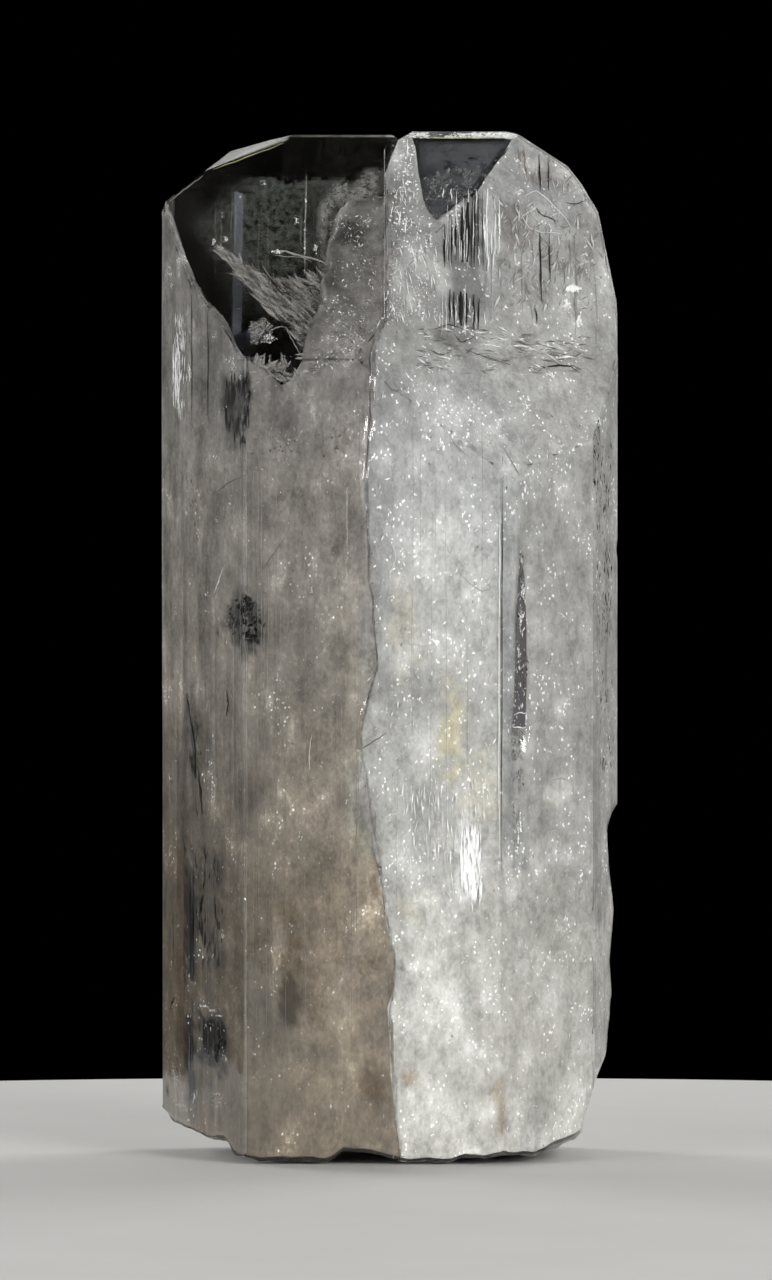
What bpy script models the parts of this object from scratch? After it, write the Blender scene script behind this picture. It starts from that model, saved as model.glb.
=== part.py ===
"""Danburite crystal: two prismatic crystals grown side by side in parallel, as one piece.

The piece stands on the flat left where its broken root was cut. +X is to the right, +Y to the
back and +Z up, along the crystals' long axis. The origin is below the middle, on the surface.

Each crystal starts as a prism with its own cross-section, and its end is cut by facets. A facet
is a plane: azimuth is the way it faces (0 front, 90 right, 180 back, 270 left), slope is its
angle from level, and it passes through one stated point.
"""

import math
import random

import bmesh
import bpy
from mathutils import Vector

MM = 0.001

# Driving dimensions, in millimetres
HALF_WIDTH = 13.36
HALF_DEPTH = 7.0
LEFT_TOP = 59.8
RIGHT_TOP = 60.0
LEFT_FRONT = -6.75
LEFT_BACK = 6.8
LEFT_CREST_Y = 6.6
RIGHT_CREST_Y = 6.1
DOME_SLOPE = 43.9
OVERSHOOT = 2.0  # how far a blank runs past what later cuts leave of it

# Cross-sections, seen from above, corners in order round the prism
LEFT_SECTION = (
    (-8.4, LEFT_FRONT),
    (1.6, LEFT_FRONT),
    (2.1, 0.0),
    (1.1, LEFT_BACK),
    (-12.7, LEFT_BACK),
    (-HALF_WIDTH, 5.4),
    (-HALF_WIDTH, 2.2),
    (-11.75, -2.1),
)
RIGHT_SECTION = (
    (-2.4, -HALF_DEPTH),
    (6.46, -HALF_DEPTH),
    (7.7, -6.3),
    (11.95, -3.2),
    (HALF_WIDTH, 0.4),
    (HALF_WIDTH, 2.4),
    (12.3, 5.3),
    (9.6, HALF_DEPTH),
    (-2.4, HALF_DEPTH),
)

# Facets of each end: azimuth, slope, point on the plane
FRONT_PYRAMID = (25.8, 60.6, (7.46, 5.67, 59.59))  # steep facet that both crystals' ends share
LEFT_FACETS = (
    (0.0, DOME_SLOPE, (0.0, LEFT_CREST_Y, LEFT_TOP)),  # front dome
    (180.0, DOME_SLOPE, (0.0, LEFT_CREST_Y, LEFT_TOP)),  # back dome
    (315.4, 22.4, (-5.7, LEFT_CREST_Y, LEFT_TOP)),  # low facet at the left of the crest
    (270.0, 38.4, (-10.85, 0.0, 57.66)),  # left shoulder
    (270.0, 72.0, (-13.13, 0.0, 55.85)),  # left corner
    (90.0, 31.0, (0.15, 0.0, LEFT_TOP)),  # slope down to the seam
    FRONT_PYRAMID,
)
RIGHT_FACETS = (
    (0.0, DOME_SLOPE, (0.0, RIGHT_CREST_Y, RIGHT_TOP)),  # front dome
    (180.0, DOME_SLOPE, (0.0, RIGHT_CREST_Y, RIGHT_TOP)),  # back dome
    FRONT_PYRAMID,
    (152.0, 50.0, (6.9, RIGHT_CREST_Y, RIGHT_TOP)),  # back pyramid
    (90.0, 22.0, (7.81, 0.0, RIGHT_TOP)),  # right shoulder, in five flats from here down
    (90.0, 45.0, (9.09, 0.0, 59.48)),
    (90.0, 52.0, (10.2, 0.0, 58.36)),
    (88.0, 60.0, (11.72, 3.5, 56.43)),
    (90.0, 78.0, (12.72, 2.0, 54.68)),
    (270.0, 31.0, (1.37, 0.0, RIGHT_TOP)),  # slope down to the seam
)

# The left edge of the right crystal, where it has grown over the left one: (x, z) going down
SEAM = (
    (0.7, 61.0),
    (-0.2, 56.5),
    (-0.25, 50.5),
    (-1.05, 46.0),
    (-1.4, 39.5),
    (-0.7, 29.0),
    (-1.95, 25.0),
    (-1.2, 20.5),
    (0.3, 12.2),
    (-0.1, 9.0),
    (0.7, -2.0),
)

# Growth channel in the right front: a long sunk lens, its ends and its widest place
CHANNEL_X = 7.85
CHANNEL_Y = -6.3
CHANNEL_TOP = 37.4
CHANNEL_WIDEST = 24.5
CHANNEL_BOTTOM = 17.0
CHANNEL_WIDTH = 1.1
CHANNEL_DEPTH = 0.8
CHANNEL_LIFT = 0.2  # how far its middle line lies outside the corner
CHANNEL_FACING = 45.0  # azimuth, between the front and the slanted right face

# Chipped lower part of the right edge: (x, z) of what is left, going down
RIGHT_CHIP = (
    (HALF_WIDTH, 20.6),
    (12.7, 19.6),
    (12.7, 18.4),
    (13.1, 14.4),
    (13.0, 9.6),
    (12.65, 6.1),
    (12.35, 4.1),
    (11.55, 1.8),
    (10.3, 0.7),
    (9.6, -1.0),
)

# Broken root
BREAK_CELL = 1.2
BREAK_ROUGHNESS = 0.32
BREAK_RISE = 0.62  # how fast the break rises outside the flats
BREAK_TOP = 2.6
BREAK_LEAST = 0.05  # the break keeps off the surface it stands on by this much round the flats
CORNER_X = 8.3  # left of this the break rises to the left corner
CORNER_RISE = 0.42
FLAT_LEFT = (-5.6, 0.3, 3.6, 4.7)  # centre x, centre y, half length, half depth
FLAT_RIGHT = (3.9, -0.3, 5.2, 5.0)
BREAK_SEED = 7

CRYSTAL_COLOUR = (0.79, 0.78, 0.75, 1.0)
CRYSTAL_ROUGHNESS = 0.12


def remove_everything():
    for old in list(bpy.data.objects):
        bpy.data.objects.remove(old, do_unlink=True)


def add_object(name, mesh_data):
    """Turn a bmesh in millimetres into a linked object in metres."""
    bmesh.ops.scale(mesh_data, vec=(MM, MM, MM), verts=mesh_data.verts)
    bmesh.ops.recalc_face_normals(mesh_data, faces=mesh_data.faces)
    mesh = bpy.data.meshes.new(name)
    mesh_data.to_mesh(mesh)
    mesh_data.free()
    made = bpy.data.objects.new(name, mesh)
    bpy.context.scene.collection.objects.link(made)
    return made


def extrude_outline(points, direction):
    """Close an outline of 3-D points into a face and sweep it along a direction."""
    solid = bmesh.new()
    face = solid.faces.new([solid.verts.new(point) for point in points])
    swept = bmesh.ops.extrude_face_region(solid, geom=[face])
    moved = [item for item in swept["geom"] if isinstance(item, bmesh.types.BMVert)]
    bmesh.ops.translate(solid, vec=direction, verts=moved)
    return solid


def facet_normal(azimuth, slope):
    turn = math.radians(azimuth)
    tilt = math.radians(slope)
    return Vector((math.sin(turn) * math.sin(tilt), -math.cos(turn) * math.sin(tilt), math.cos(tilt)))


def cut_facet(solid, azimuth, slope, point):
    """Take away what lies outside a facet's plane and close the cut."""
    everything = solid.verts[:] + solid.edges[:] + solid.faces[:]
    cut = bmesh.ops.bisect_plane(
        solid,
        geom=everything,
        plane_co=point,
        plane_no=facet_normal(azimuth, slope),
        clear_outer=True,
    )
    rim = [item for item in cut["geom_cut"] if isinstance(item, bmesh.types.BMEdge)]
    if rim:
        bmesh.ops.holes_fill(solid, edges=rim, sides=0)


def make_prism(name, section, facets, top):
    base = [(x, y, -OVERSHOOT) for x, y in section]
    solid = extrude_outline(base, (0.0, 0.0, top + 2 * OVERSHOOT))
    for azimuth, slope, point in facets:
        cut_facet(solid, azimuth, slope, point)
    return add_object(name, solid)


def make_cutter(name, solid):
    cutter = add_object(name, solid)
    cutter.hide_render = True
    cutter.display_type = "WIRE"
    return cutter


def make_seam_slab():
    """The space right of the seam line, which the right crystal keeps to."""
    beyond = HALF_WIDTH + OVERSHOOT
    corners = list(SEAM) + [(beyond, SEAM[-1][1]), (beyond, SEAM[0][1])]
    front = -HALF_DEPTH - OVERSHOOT
    points = [(x, front, z) for x, z in corners]
    return make_cutter("seam_slab", extrude_outline(points, (0.0, -2 * front, 0.0)))


def make_right_chip():
    """What is missing from the lower part of the right edge."""
    beyond = HALF_WIDTH + OVERSHOOT
    corners = list(RIGHT_CHIP) + [(beyond, RIGHT_CHIP[-1][1]), (beyond, RIGHT_CHIP[0][1])]
    front = -HALF_DEPTH - OVERSHOOT
    points = [(x, front, z) for x, z in corners]
    return make_cutter("right_chip", extrude_outline(points, (0.0, -2 * front, 0.0)))


def make_channel():
    """A long double wedge, sunk into the right front with its ridge inwards."""
    outwards = facet_normal(CHANNEL_FACING, 90.0)
    across = Vector((0.0, 0.0, 1.0)).cross(outwards).normalized() * (CHANNEL_WIDTH / 2)
    middle = Vector((CHANNEL_X, CHANNEL_Y, CHANNEL_WIDEST)) + outwards * CHANNEL_LIFT
    solid = bmesh.new()
    left = solid.verts.new(middle - across)
    right = solid.verts.new(middle + across)
    inner = solid.verts.new(middle - outwards * CHANNEL_DEPTH)
    outer = solid.verts.new(middle + outwards * CHANNEL_DEPTH)
    for end_z in (CHANNEL_TOP, CHANNEL_BOTTOM):
        end = solid.verts.new(Vector((CHANNEL_X, CHANNEL_Y, end_z)) + outwards * CHANNEL_LIFT)
        for first, second in ((left, inner), (inner, right), (right, outer), (outer, left)):
            solid.faces.new((first, second, end))
    return make_cutter("channel", solid)


def oval_distance(x, y, oval):
    centre_x, centre_y, half_x, half_y = oval
    return math.hypot((x - centre_x) / half_x, (y - centre_y) / half_y) - 1.0


def break_height(x, y, chance):
    """Height of the broken root: level on the two flats and rising unevenly round them."""
    outside = min(oval_distance(x, y, FLAT_LEFT), oval_distance(x, y, FLAT_RIGHT))
    if outside <= 0.0:
        return 0.0
    rise = BREAK_RISE * outside + chance.uniform(-1.0, 1.0) * BREAK_ROUGHNESS
    corner = max(0.0, -x - CORNER_X) * CORNER_RISE
    return min(max(rise + corner, BREAK_LEAST), BREAK_TOP)


def make_break_block():
    """The space above the broken root: a block whose underside is the break."""
    chance = random.Random(BREAK_SEED)
    half_x = HALF_WIDTH + OVERSHOOT
    half_y = HALF_DEPTH + OVERSHOOT
    columns = round(2 * half_x / BREAK_CELL)
    rows = round(2 * half_y / BREAK_CELL)
    solid = bmesh.new()
    bmesh.ops.create_grid(solid, x_segments=columns, y_segments=rows, size=1.0)
    for vert in solid.verts:
        vert.co.x *= half_x
        vert.co.y *= half_y
        vert.co.z = break_height(vert.co.x, vert.co.y, chance)
    bmesh.ops.triangulate(solid, faces=solid.faces)
    swept = bmesh.ops.extrude_face_region(solid, geom=solid.faces[:])
    for item in swept["geom"]:
        if isinstance(item, bmesh.types.BMVert):
            item.co.z = RIGHT_TOP + OVERSHOOT
    return make_cutter("break_block", solid)


def add_boolean(target, operation, other):
    step = target.modifiers.new(f"{operation.lower()} {other.name}", "BOOLEAN")
    step.operation = operation
    step.solver = "EXACT"
    step.object = other


def make_material():
    material = bpy.data.materials.new("clear to milky danburite")
    material.use_nodes = True
    shader = material.node_tree.nodes["Principled BSDF"]
    shader.inputs["Base Color"].default_value = CRYSTAL_COLOUR
    shader.inputs["Roughness"].default_value = CRYSTAL_ROUGHNESS
    shader.inputs["Metallic"].default_value = 0.0
    return material


def main():
    remove_everything()
    crystal = make_prism("danburite_crystal", LEFT_SECTION, LEFT_FACETS, LEFT_TOP)
    crystal.data.materials.append(make_material())

    right = make_prism("right_crystal", RIGHT_SECTION, RIGHT_FACETS, RIGHT_TOP)
    right.hide_render = True
    right.display_type = "WIRE"
    add_boolean(right, "INTERSECT", make_seam_slab())

    add_boolean(crystal, "UNION", right)
    add_boolean(crystal, "DIFFERENCE", make_channel())
    add_boolean(crystal, "DIFFERENCE", make_right_chip())
    add_boolean(crystal, "INTERSECT", make_break_block())


main()
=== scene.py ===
"""Looks of a danburite crystal: clear striated skin, milk and veils sealed in it, and a studio."""

from __future__ import annotations

import logging
import math
from dataclasses import dataclass
from enum import Enum
from typing import Any, Callable, Sequence

import bpy
import numpy as np
from bpy.types import Material, Node, NodeSocket, NodeTree, Object
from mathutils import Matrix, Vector
from mathutils.bvhtree import BVHTree

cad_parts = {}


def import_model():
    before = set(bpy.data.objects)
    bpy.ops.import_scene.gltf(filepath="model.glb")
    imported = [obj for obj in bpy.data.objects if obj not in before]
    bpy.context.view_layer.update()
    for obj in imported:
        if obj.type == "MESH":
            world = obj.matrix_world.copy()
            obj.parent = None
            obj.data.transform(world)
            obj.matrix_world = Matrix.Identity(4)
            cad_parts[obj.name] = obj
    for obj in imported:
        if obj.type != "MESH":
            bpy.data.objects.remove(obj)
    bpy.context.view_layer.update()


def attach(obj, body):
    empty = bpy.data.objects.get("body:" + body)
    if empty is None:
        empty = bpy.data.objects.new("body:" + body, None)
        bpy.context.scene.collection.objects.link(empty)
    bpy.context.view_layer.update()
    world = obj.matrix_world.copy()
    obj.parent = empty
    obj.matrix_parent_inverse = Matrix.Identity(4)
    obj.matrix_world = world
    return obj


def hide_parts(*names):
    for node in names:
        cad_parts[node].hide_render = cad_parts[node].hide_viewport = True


LOG = logging.getLogger("danburite")

MM = 0.001
BODY = "root"
NODE = "danburite_crystal"
TINT = "tint"
DANBURITE_IOR = 1.63

Pair = tuple[float, float]
Point = tuple[float, float, float]
Outline = tuple[Pair, ...]
Facet = tuple[float, float, Point]


class Side(Enum):
    """The two crystals that grew side by side."""

    LEFT = "left"
    RIGHT = "right"


# ---------------------------------------------------------------------------
# Small helpers
# ---------------------------------------------------------------------------


def hex_to_linear(code: str) -> tuple[float, float, float, float]:
    """Turn an sRGB hex colour into linear RGBA.

    Args:
        code: six hex digits, with or without a leading hash.

    Returns:
        Linear red, green, blue and an alpha of 1.
    """
    digits = code.lstrip("#")
    values = [int(digits[start : start + 2], 16) / 255 for start in (0, 2, 4)]
    linear = [v / 12.92 if v <= 0.04045 else ((v + 0.055) / 1.055) ** 2.4 for v in values]
    return linear[0], linear[1], linear[2], 1.0


def feed(node: Node, inputs: dict[str | int, Any]) -> None:
    """Set a node's inputs.

    Args:
        node: the node to feed.
        inputs: by socket name or number, each with a value, a socket to link from, or a node
            whose first output is linked.
    """
    for name, value in inputs.items():
        source = value.outputs[0] if isinstance(value, Node) else value
        if isinstance(source, NodeSocket):
            node.id_data.links.new(source, node.inputs[name])
        else:
            node.inputs[name].default_value = source


def add_node(tree: NodeTree, kind: str, inputs: dict[str | int, Any], **settings: Any) -> Node:
    """Add one shader node, set it up and feed its inputs.

    Args:
        tree: the node tree that gets the node.
        kind: the node's type name.
        inputs: what its input sockets get, as feed takes them.
        settings: node properties by name.

    Returns:
        The new node.
    """
    node = tree.nodes.new(kind)
    for name, value in settings.items():
        setattr(node, name, value)
    feed(node, inputs)
    return node


def start_material(name: str) -> tuple[Material, NodeTree, Node, NodeSocket]:
    """Start a material that has one shader.

    Args:
        name: the material's name.

    Returns:
        The material, its nodes, its shader and the Object coordinates that patterns follow.
    """
    material = bpy.data.materials.new(name)
    material.use_nodes = True
    tree = material.node_tree
    place = add_node(tree, "ShaderNodeTexCoord", {}).outputs["Object"]
    return material, tree, tree.nodes["Principled BSDF"], place


def deselect_all() -> None:
    """Leave object mode clean before an operator acts."""
    if bpy.context.object and bpy.context.object.mode != "OBJECT":
        bpy.ops.object.mode_set(mode="OBJECT")
    bpy.ops.object.select_all(action="DESELECT")


def make_active(piece: Object) -> None:
    """Select one object alone and make it the active one.

    Args:
        piece: the object.
    """
    deselect_all()
    piece.select_set(True)
    bpy.context.view_layer.objects.active = piece


def edit_all(piece: Object, operator: Callable[..., Any], **settings: Any) -> None:
    """Run one operator on the whole of a mesh.

    It gets an edit session of its own, because an operator that follows a dissolve in the same
    session puts its new faces in another order each run.

    Args:
        piece: the mesh object.
        operator: what to run in edit mode with everything selected.
        settings: what the operator is given.
    """
    make_active(piece)
    bpy.ops.object.mode_set(mode="EDIT")
    bpy.ops.mesh.select_all(action="SELECT")
    operator(**settings)
    bpy.ops.object.mode_set(mode="OBJECT")


def mesh_piece(name: str, vertices: np.ndarray, faces: np.ndarray) -> Object:
    """Make a linked object from arrays.

    Args:
        name: the piece's name.
        vertices: corner positions in millimetres, one row each.
        faces: corner numbers, one row for each face.

    Returns:
        The new object, with its place in its mesh.
    """
    mesh = bpy.data.meshes.new(name)
    mesh.from_pydata((vertices * MM).tolist(), [], faces.tolist())
    mesh.update()
    piece = bpy.data.objects.new(name, mesh)
    bpy.context.scene.collection.objects.link(piece)
    return piece


def read_corners(piece: Object, what: str) -> np.ndarray:
    """Read something of each corner from a mesh.

    Args:
        piece: the mesh object.
        what: "co" for the places, in metres, or "normal" for the directions.

    Returns:
        One row for each corner.
    """
    flat = np.empty(len(piece.data.vertices) * 3)
    piece.data.vertices.foreach_get(what, flat)
    return flat.reshape(-1, 3)


def read_points(piece: Object) -> np.ndarray:
    """Give a mesh's corner positions in millimetres."""
    return read_corners(piece, "co") / MM


def write_points(piece: Object, points: np.ndarray) -> None:
    """Put a mesh's corners at these positions, in millimetres."""
    piece.data.vertices.foreach_set("co", (points * MM).ravel())
    piece.data.update()


def write_tint(piece: Object, tint: np.ndarray) -> None:
    """Store a colour for each corner of a mesh, for its material to read."""
    store = piece.data.color_attributes.new(TINT, "FLOAT_COLOR", "POINT")
    store.data.foreach_set("color", np.column_stack((tint, np.ones(len(tint)))).ravel())


def rows(*columns: np.ndarray | float) -> np.ndarray:
    """Set columns side by side, one row for each place; a number fills its column."""
    return np.stack(np.broadcast_arrays(*columns), axis=-1)


def unit_rows(vectors: np.ndarray) -> np.ndarray:
    """Make each row a direction of length 1."""
    return vectors / np.linalg.norm(vectors, axis=1)[:, None]


def smooth_noise(points: np.ndarray, seed: int) -> np.ndarray:
    """Smooth random values from -1 to 1 that change over about one unit of distance.

    Args:
        points: positions, already divided by the wanted grain size.
        seed: picks the pattern.

    Returns:
        One value for each position.
    """
    size = 32
    lattice = np.random.default_rng(seed).uniform(-1.0, 1.0, (size, size, size))
    cell = np.floor(points).astype(int)
    part = points - cell
    part = part * part * (3.0 - 2.0 * part)
    total = np.zeros(len(points))
    for corner in np.ndindex(2, 2, 2):
        weight = np.prod(np.where(np.array(corner) == 1, part, 1.0 - part), axis=1)
        spot = (cell + np.array(corner)) % size
        total += weight * lattice[spot[:, 0], spot[:, 1], spot[:, 2]]
    return total


def layered_noise(points: np.ndarray, seed: int, layers: int = 4) -> np.ndarray:
    """Smooth noise with finer and fainter layers added to it.

    Args:
        points: positions, already divided by the coarsest grain size.
        seed: picks the pattern.
        layers: how many layers there are.

    Returns:
        One value for each position.
    """
    total = np.zeros(len(points))
    for layer in range(layers):
        total += smooth_noise(points * 2.0**layer, seed + layer) / 2.0**layer
    return total


def soft_step(low: float, high: float, values: np.ndarray) -> np.ndarray:
    """Rise smoothly from 0 at low to 1 at high."""
    share = np.clip((values - low) / (high - low), 0.0, 1.0)
    return share * share * (3.0 - 2.0 * share)


def along_line(line: Sequence[Pair], values: np.ndarray) -> np.ndarray:
    """Read a line of (at, value) points, in rising order of at, at these values."""
    table = np.array(line)
    return np.interp(values, table[:, 0], table[:, 1])


def facet_normal(azimuth: float, slope: float) -> np.ndarray:
    """Work out the way that a facet faces.

    Args:
        azimuth: 0 for the front, 90 for the right, in degrees.
        slope: its lean from level, in degrees.

    Returns:
        The outward direction, of length 1.
    """
    turn = math.radians(azimuth)
    tilt = math.radians(slope)
    return np.array((math.sin(turn) * math.sin(tilt), -math.cos(turn) * math.sin(tilt), math.cos(tilt)))


# ---------------------------------------------------------------------------
# The shape the crystals grew to, in millimetres
# ---------------------------------------------------------------------------


@dataclass(frozen=True)
class GrownCrystal:
    """One of the two crystals, as a block cleaved by its prism faces and its end facets.

    The section is read from above, corners in order round the prism. A facet is (azimuth, slope,
    a point on it), the angles in degrees.
    """

    section: Outline
    facets: tuple[Facet, ...]

    def planes(self) -> tuple[np.ndarray, np.ndarray]:
        """Work out every face of the crystal but the root.

        Returns:
            The faces' outward normals and one point on each.
        """
        normals = []
        points = []
        for start, end in zip(self.section, self.section[1:] + self.section[:1]):
            edge = np.subtract(end, start)
            normals.append(np.array((edge[1], -edge[0], 0.0)) / np.hypot(*edge))
            points.append(np.array((start[0], start[1], 0.0)))
        for azimuth, slope, point in self.facets:
            normals.append(facet_normal(azimuth, slope))
            points.append(np.array(point))
        return np.array(normals), np.array(points)

    def depth_inside(self, places: np.ndarray) -> np.ndarray:
        """Measure how far places lie under the nearest face.

        Args:
            places: positions, in millimetres.

        Returns:
            The depths, negative outside.
        """
        normals, points = self.planes()
        reach = places @ normals.T - np.sum(normals * points, axis=1)
        return -reach.max(axis=1)


FRONT_Y = -6.9
BACK_Y = 6.9
SKIN_LIMITS = ((-13.355, -6.995, 0.0), (13.355, 6.995, 59.995))
DOME_SLOPE = 43.9
LEFT_RIDGE: Point = (0.0, 6.6, 59.8)
RIGHT_RIDGE: Point = (0.0, 6.1, 60.0)
FRONT_DOME: Facet = (0.0, DOME_SLOPE, LEFT_RIDGE)
FRONT_PYRAMID: Facet = (25.8, 60.6, (7.46, 5.67, 59.59))
LEFT_CRYSTAL = GrownCrystal(
    section=(
        (-8.4, FRONT_Y), (0.6, FRONT_Y), (0.6, BACK_Y), (-12.7, BACK_Y),
        (-13.36, 5.4), (-13.36, 2.2), (-11.75, -2.1),
    ),
    facets=(
        FRONT_DOME,
        (180.0, DOME_SLOPE, LEFT_RIDGE),
        (315.4, 22.4, (-5.7, 6.6, 59.8)),
        (270.0, 38.4, (-10.85, 0.0, 57.66)),
        (270.0, 72.0, (-13.13, 0.0, 55.85)),
        (90.0, 31.0, (0.15, 0.0, 59.8)),
        FRONT_PYRAMID,
    ),
)
RIGHT_CRYSTAL = GrownCrystal(
    section=(
        (-0.3, FRONT_Y), (6.46, FRONT_Y), (7.7, -6.2), (11.95, -3.2), (13.36, 0.4),
        (13.36, 2.4), (12.3, 5.3), (9.6, BACK_Y), (-0.3, BACK_Y),
    ),
    facets=(
        (0.0, DOME_SLOPE, RIGHT_RIDGE),
        (180.0, DOME_SLOPE, RIGHT_RIDGE),
        FRONT_PYRAMID,
        (152.0, 50.0, (6.9, 6.1, 60.0)),
        (90.0, 22.0, (7.81, 0.0, 60.0)),
        (90.0, 45.0, (9.09, 0.0, 59.48)),
        (90.0, 52.0, (10.2, 0.0, 58.36)),
        (88.0, 60.0, (11.72, 3.5, 56.43)),
        (90.0, 78.0, (12.72, 2.0, 54.68)),
        (270.0, 31.0, (1.37, 0.0, 60.0)),
    ),
)

# The seam, where the right crystal grew over the left one: (height, x), going up
SEAM: Outline = (
    (-2.0, 0.7), (9.0, -0.1), (12.2, 0.3), (20.5, -1.2), (25.0, -1.95), (29.0, -0.7),
    (39.5, -1.4), (46.0, -1.05), (50.5, -0.25), (56.5, -0.2), (61.0, 0.7),
)

# What is left of the lower right edge: (height, x), going up
RIGHT_EDGE: Outline = (
    (0.0, 11.2), (1.8, 11.6), (4.1, 12.35), (6.1, 12.65), (9.6, 13.0), (11.5, 12.86), (14.4, 13.1),
    (18.4, 12.7), (19.6, 12.72), (20.5, 13.3), (21.2, 13.36), (34.9, 13.36), (35.6, 13.25),
    (36.3, 13.36), (60.0, 13.36),
)


def dome_y(z: np.ndarray) -> np.ndarray:
    """Where the left end's large front facet lies at these heights."""
    return LEFT_RIDGE[1] - (LEFT_RIDGE[2] - z) / math.tan(math.radians(DOME_SLOPE))


def front_entries(x: np.ndarray, z: np.ndarray) -> tuple[np.ndarray, np.ndarray]:
    """Find where level looks from the front meet the crystals.

    Args:
        x: places to the right, in millimetres.
        z: heights, in millimetres.

    Returns:
        The places on the surface and the outward normals there, one row each.
    """
    nearest = np.full(len(x), np.inf)
    places = rows(x, 0.0, z)
    leans = np.tile((0.0, -1.0, 0.0), (len(x), 1))
    for crystal in (LEFT_CRYSTAL, RIGHT_CRYSTAL):
        normals, points = crystal.planes()
        facing = normals[:, 1] < -0.05
        start, lean = points[facing], normals[facing]
        drop = lean[:, 0] * (x[:, None] - start[:, 0]) + lean[:, 2] * (z[:, None] - start[:, 2])
        depths = start[:, 1] - drop / lean[:, 1]
        first = depths.argmax(axis=1)
        y = depths.max(axis=1)
        met = (crystal.depth_inside(rows(x, y + 0.01, z)) > -0.05) & (y < nearest)
        nearest[met] = y[met]
        places[met, 1] = y[met]
        leans[met] = lean[first[met]]
    return places, leans


def sealed_places(x: np.ndarray, z: np.ndarray, depth: np.ndarray) -> tuple[np.ndarray, np.ndarray]:
    """Give the places inside that show at x and z from the front, bent at the surface.

    Args:
        x: where they show, to the right, in millimetres.
        z: how high they show, in millimetres.
        depth: how far behind the surface each lies along the bent look.

    Returns:
        The places in the crystal and the directions back towards the front, one row each.
    """
    surface, normal = front_entries(x, z)
    ratio = 1.0 / DANBURITE_IOR
    cosine = -normal[:, 1]
    bend = ratio * cosine - np.sqrt(1.0 - ratio**2 * (1.0 - cosine**2))
    bent = ratio * np.array((0.0, 1.0, 0.0)) + bend[:, None] * normal
    return surface + bent * depth[:, None], -bent


def inside_crystal(places: np.ndarray, least: float = 0.04) -> np.ndarray:
    """Tell which places lie at least so far under the faces of one crystal or the other."""
    return np.maximum(LEFT_CRYSTAL.depth_inside(places), RIGHT_CRYSTAL.depth_inside(places)) > least


def front_share(points: np.ndarray) -> np.ndarray:
    """Give 1 for places near the front faces, the clear end's too, and 0 for those behind."""
    face = np.maximum(FRONT_Y, dome_y(points[:, 2]))
    return soft_step(8.4, 6.4, points[:, 1] - face) * soft_step(6.7, 6.0, points[:, 1])


@dataclass(frozen=True)
class Region:
    """An area as it shows from the front, with a border that thins out. Corners are (x, height)."""

    outline: Outline
    border: float = 0.5

    def cover(self, x: np.ndarray, z: np.ndarray) -> np.ndarray:
        """Tell how well the region covers each place.

        Args:
            x: places to the right, in millimetres.
            z: their heights.

        Returns:
            1 well inside the outline, 0 outside it and a smooth fall between.
        """
        corners = np.array(self.outline)
        nearest = np.full(len(x), np.inf)
        inside = np.zeros(len(x), dtype=bool)
        for start, end in zip(corners, np.roll(corners, -1, axis=0)):
            run = end - start
            beside, above = x - start[0], z - start[1]
            share = np.clip((beside * run[0] + above * run[1]) / (run @ run), 0.0, 1.0)
            nearest = np.minimum(nearest, np.hypot(beside - share * run[0], above - share * run[1]))
            crosses = (start[1] > z) != (end[1] > z)
            if crosses.any():
                inside ^= crosses & (x < start[0] + above / run[1] * run[0])
        return soft_step(0.0, self.border, np.where(inside, nearest, 0.0))

    def scatter(self, count: int, clump: float, seed: int) -> tuple[np.ndarray, np.ndarray]:
        """Strew places over the area, closer together in clumps.

        Args:
            count: the most places to give.
            clump: width of a clump, in millimetres.
            seed: picks the pattern.

        Returns:
            The places' x and heights.
        """
        chance = np.random.default_rng(seed)
        corners = np.array(self.outline)
        tries = chance.uniform(corners.min(axis=0), corners.max(axis=0), (count * 6, 2))
        grain = layered_noise(rows(tries[:, 0], tries[:, 1], 0.0) / clump, seed, 3)
        weight = self.cover(tries[:, 0], tries[:, 1]) * np.clip(0.55 + 0.8 * grain, 0.03, 1.0)
        kept = tries[chance.random(len(tries)) < weight][:count]
        return kept[:, 0], kept[:, 1]


@dataclass(frozen=True)
class Knots:
    """Small knots of grains as they show from the front.

    Each is (x, height, half width, half height, how many grains), in millimetres.
    """

    spots: tuple[tuple[float, float, float, float, int], ...]

    def scatter(self, count: int, clump: float, seed: int) -> tuple[np.ndarray, np.ndarray]:
        """Strew places round the middle of each knot.

        Args:
            count: the most places to give.
            clump: how much wider than stated the knots spread.
            seed: picks the pattern.

        Returns:
            The places' x and heights.
        """
        chance = np.random.default_rng(seed)
        table = np.array(self.spots)
        picked = chance.permutation(np.repeat(table, table[:, 4].astype(int), axis=0))[:count]
        away = chance.normal(0.0, 0.5 * clump, (len(picked), 2))
        return picked[:, 0] + away[:, 0] * picked[:, 2], picked[:, 1] + away[:, 1] * picked[:, 3]

    def glow(self, points: np.ndarray, margin: float) -> np.ndarray:
        """Paint light into the places near a knot: a painted glow round its glints.

        Args:
            points: positions, in millimetres.
            margin: how far past a knot its painted light reaches.

        Returns:
            How much painted light each place gets, from 0 to 1.
        """
        lit = np.zeros(len(points))
        for x, z, half_width, half_height, _ in self.spots:
            across = (points[:, 0] - x) / (half_width + margin)
            up = (points[:, 2] - z) / (half_height + margin)
            lit = np.maximum(lit, np.exp(-(across**2) - up**2))
        return lit * front_share(points)


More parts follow.
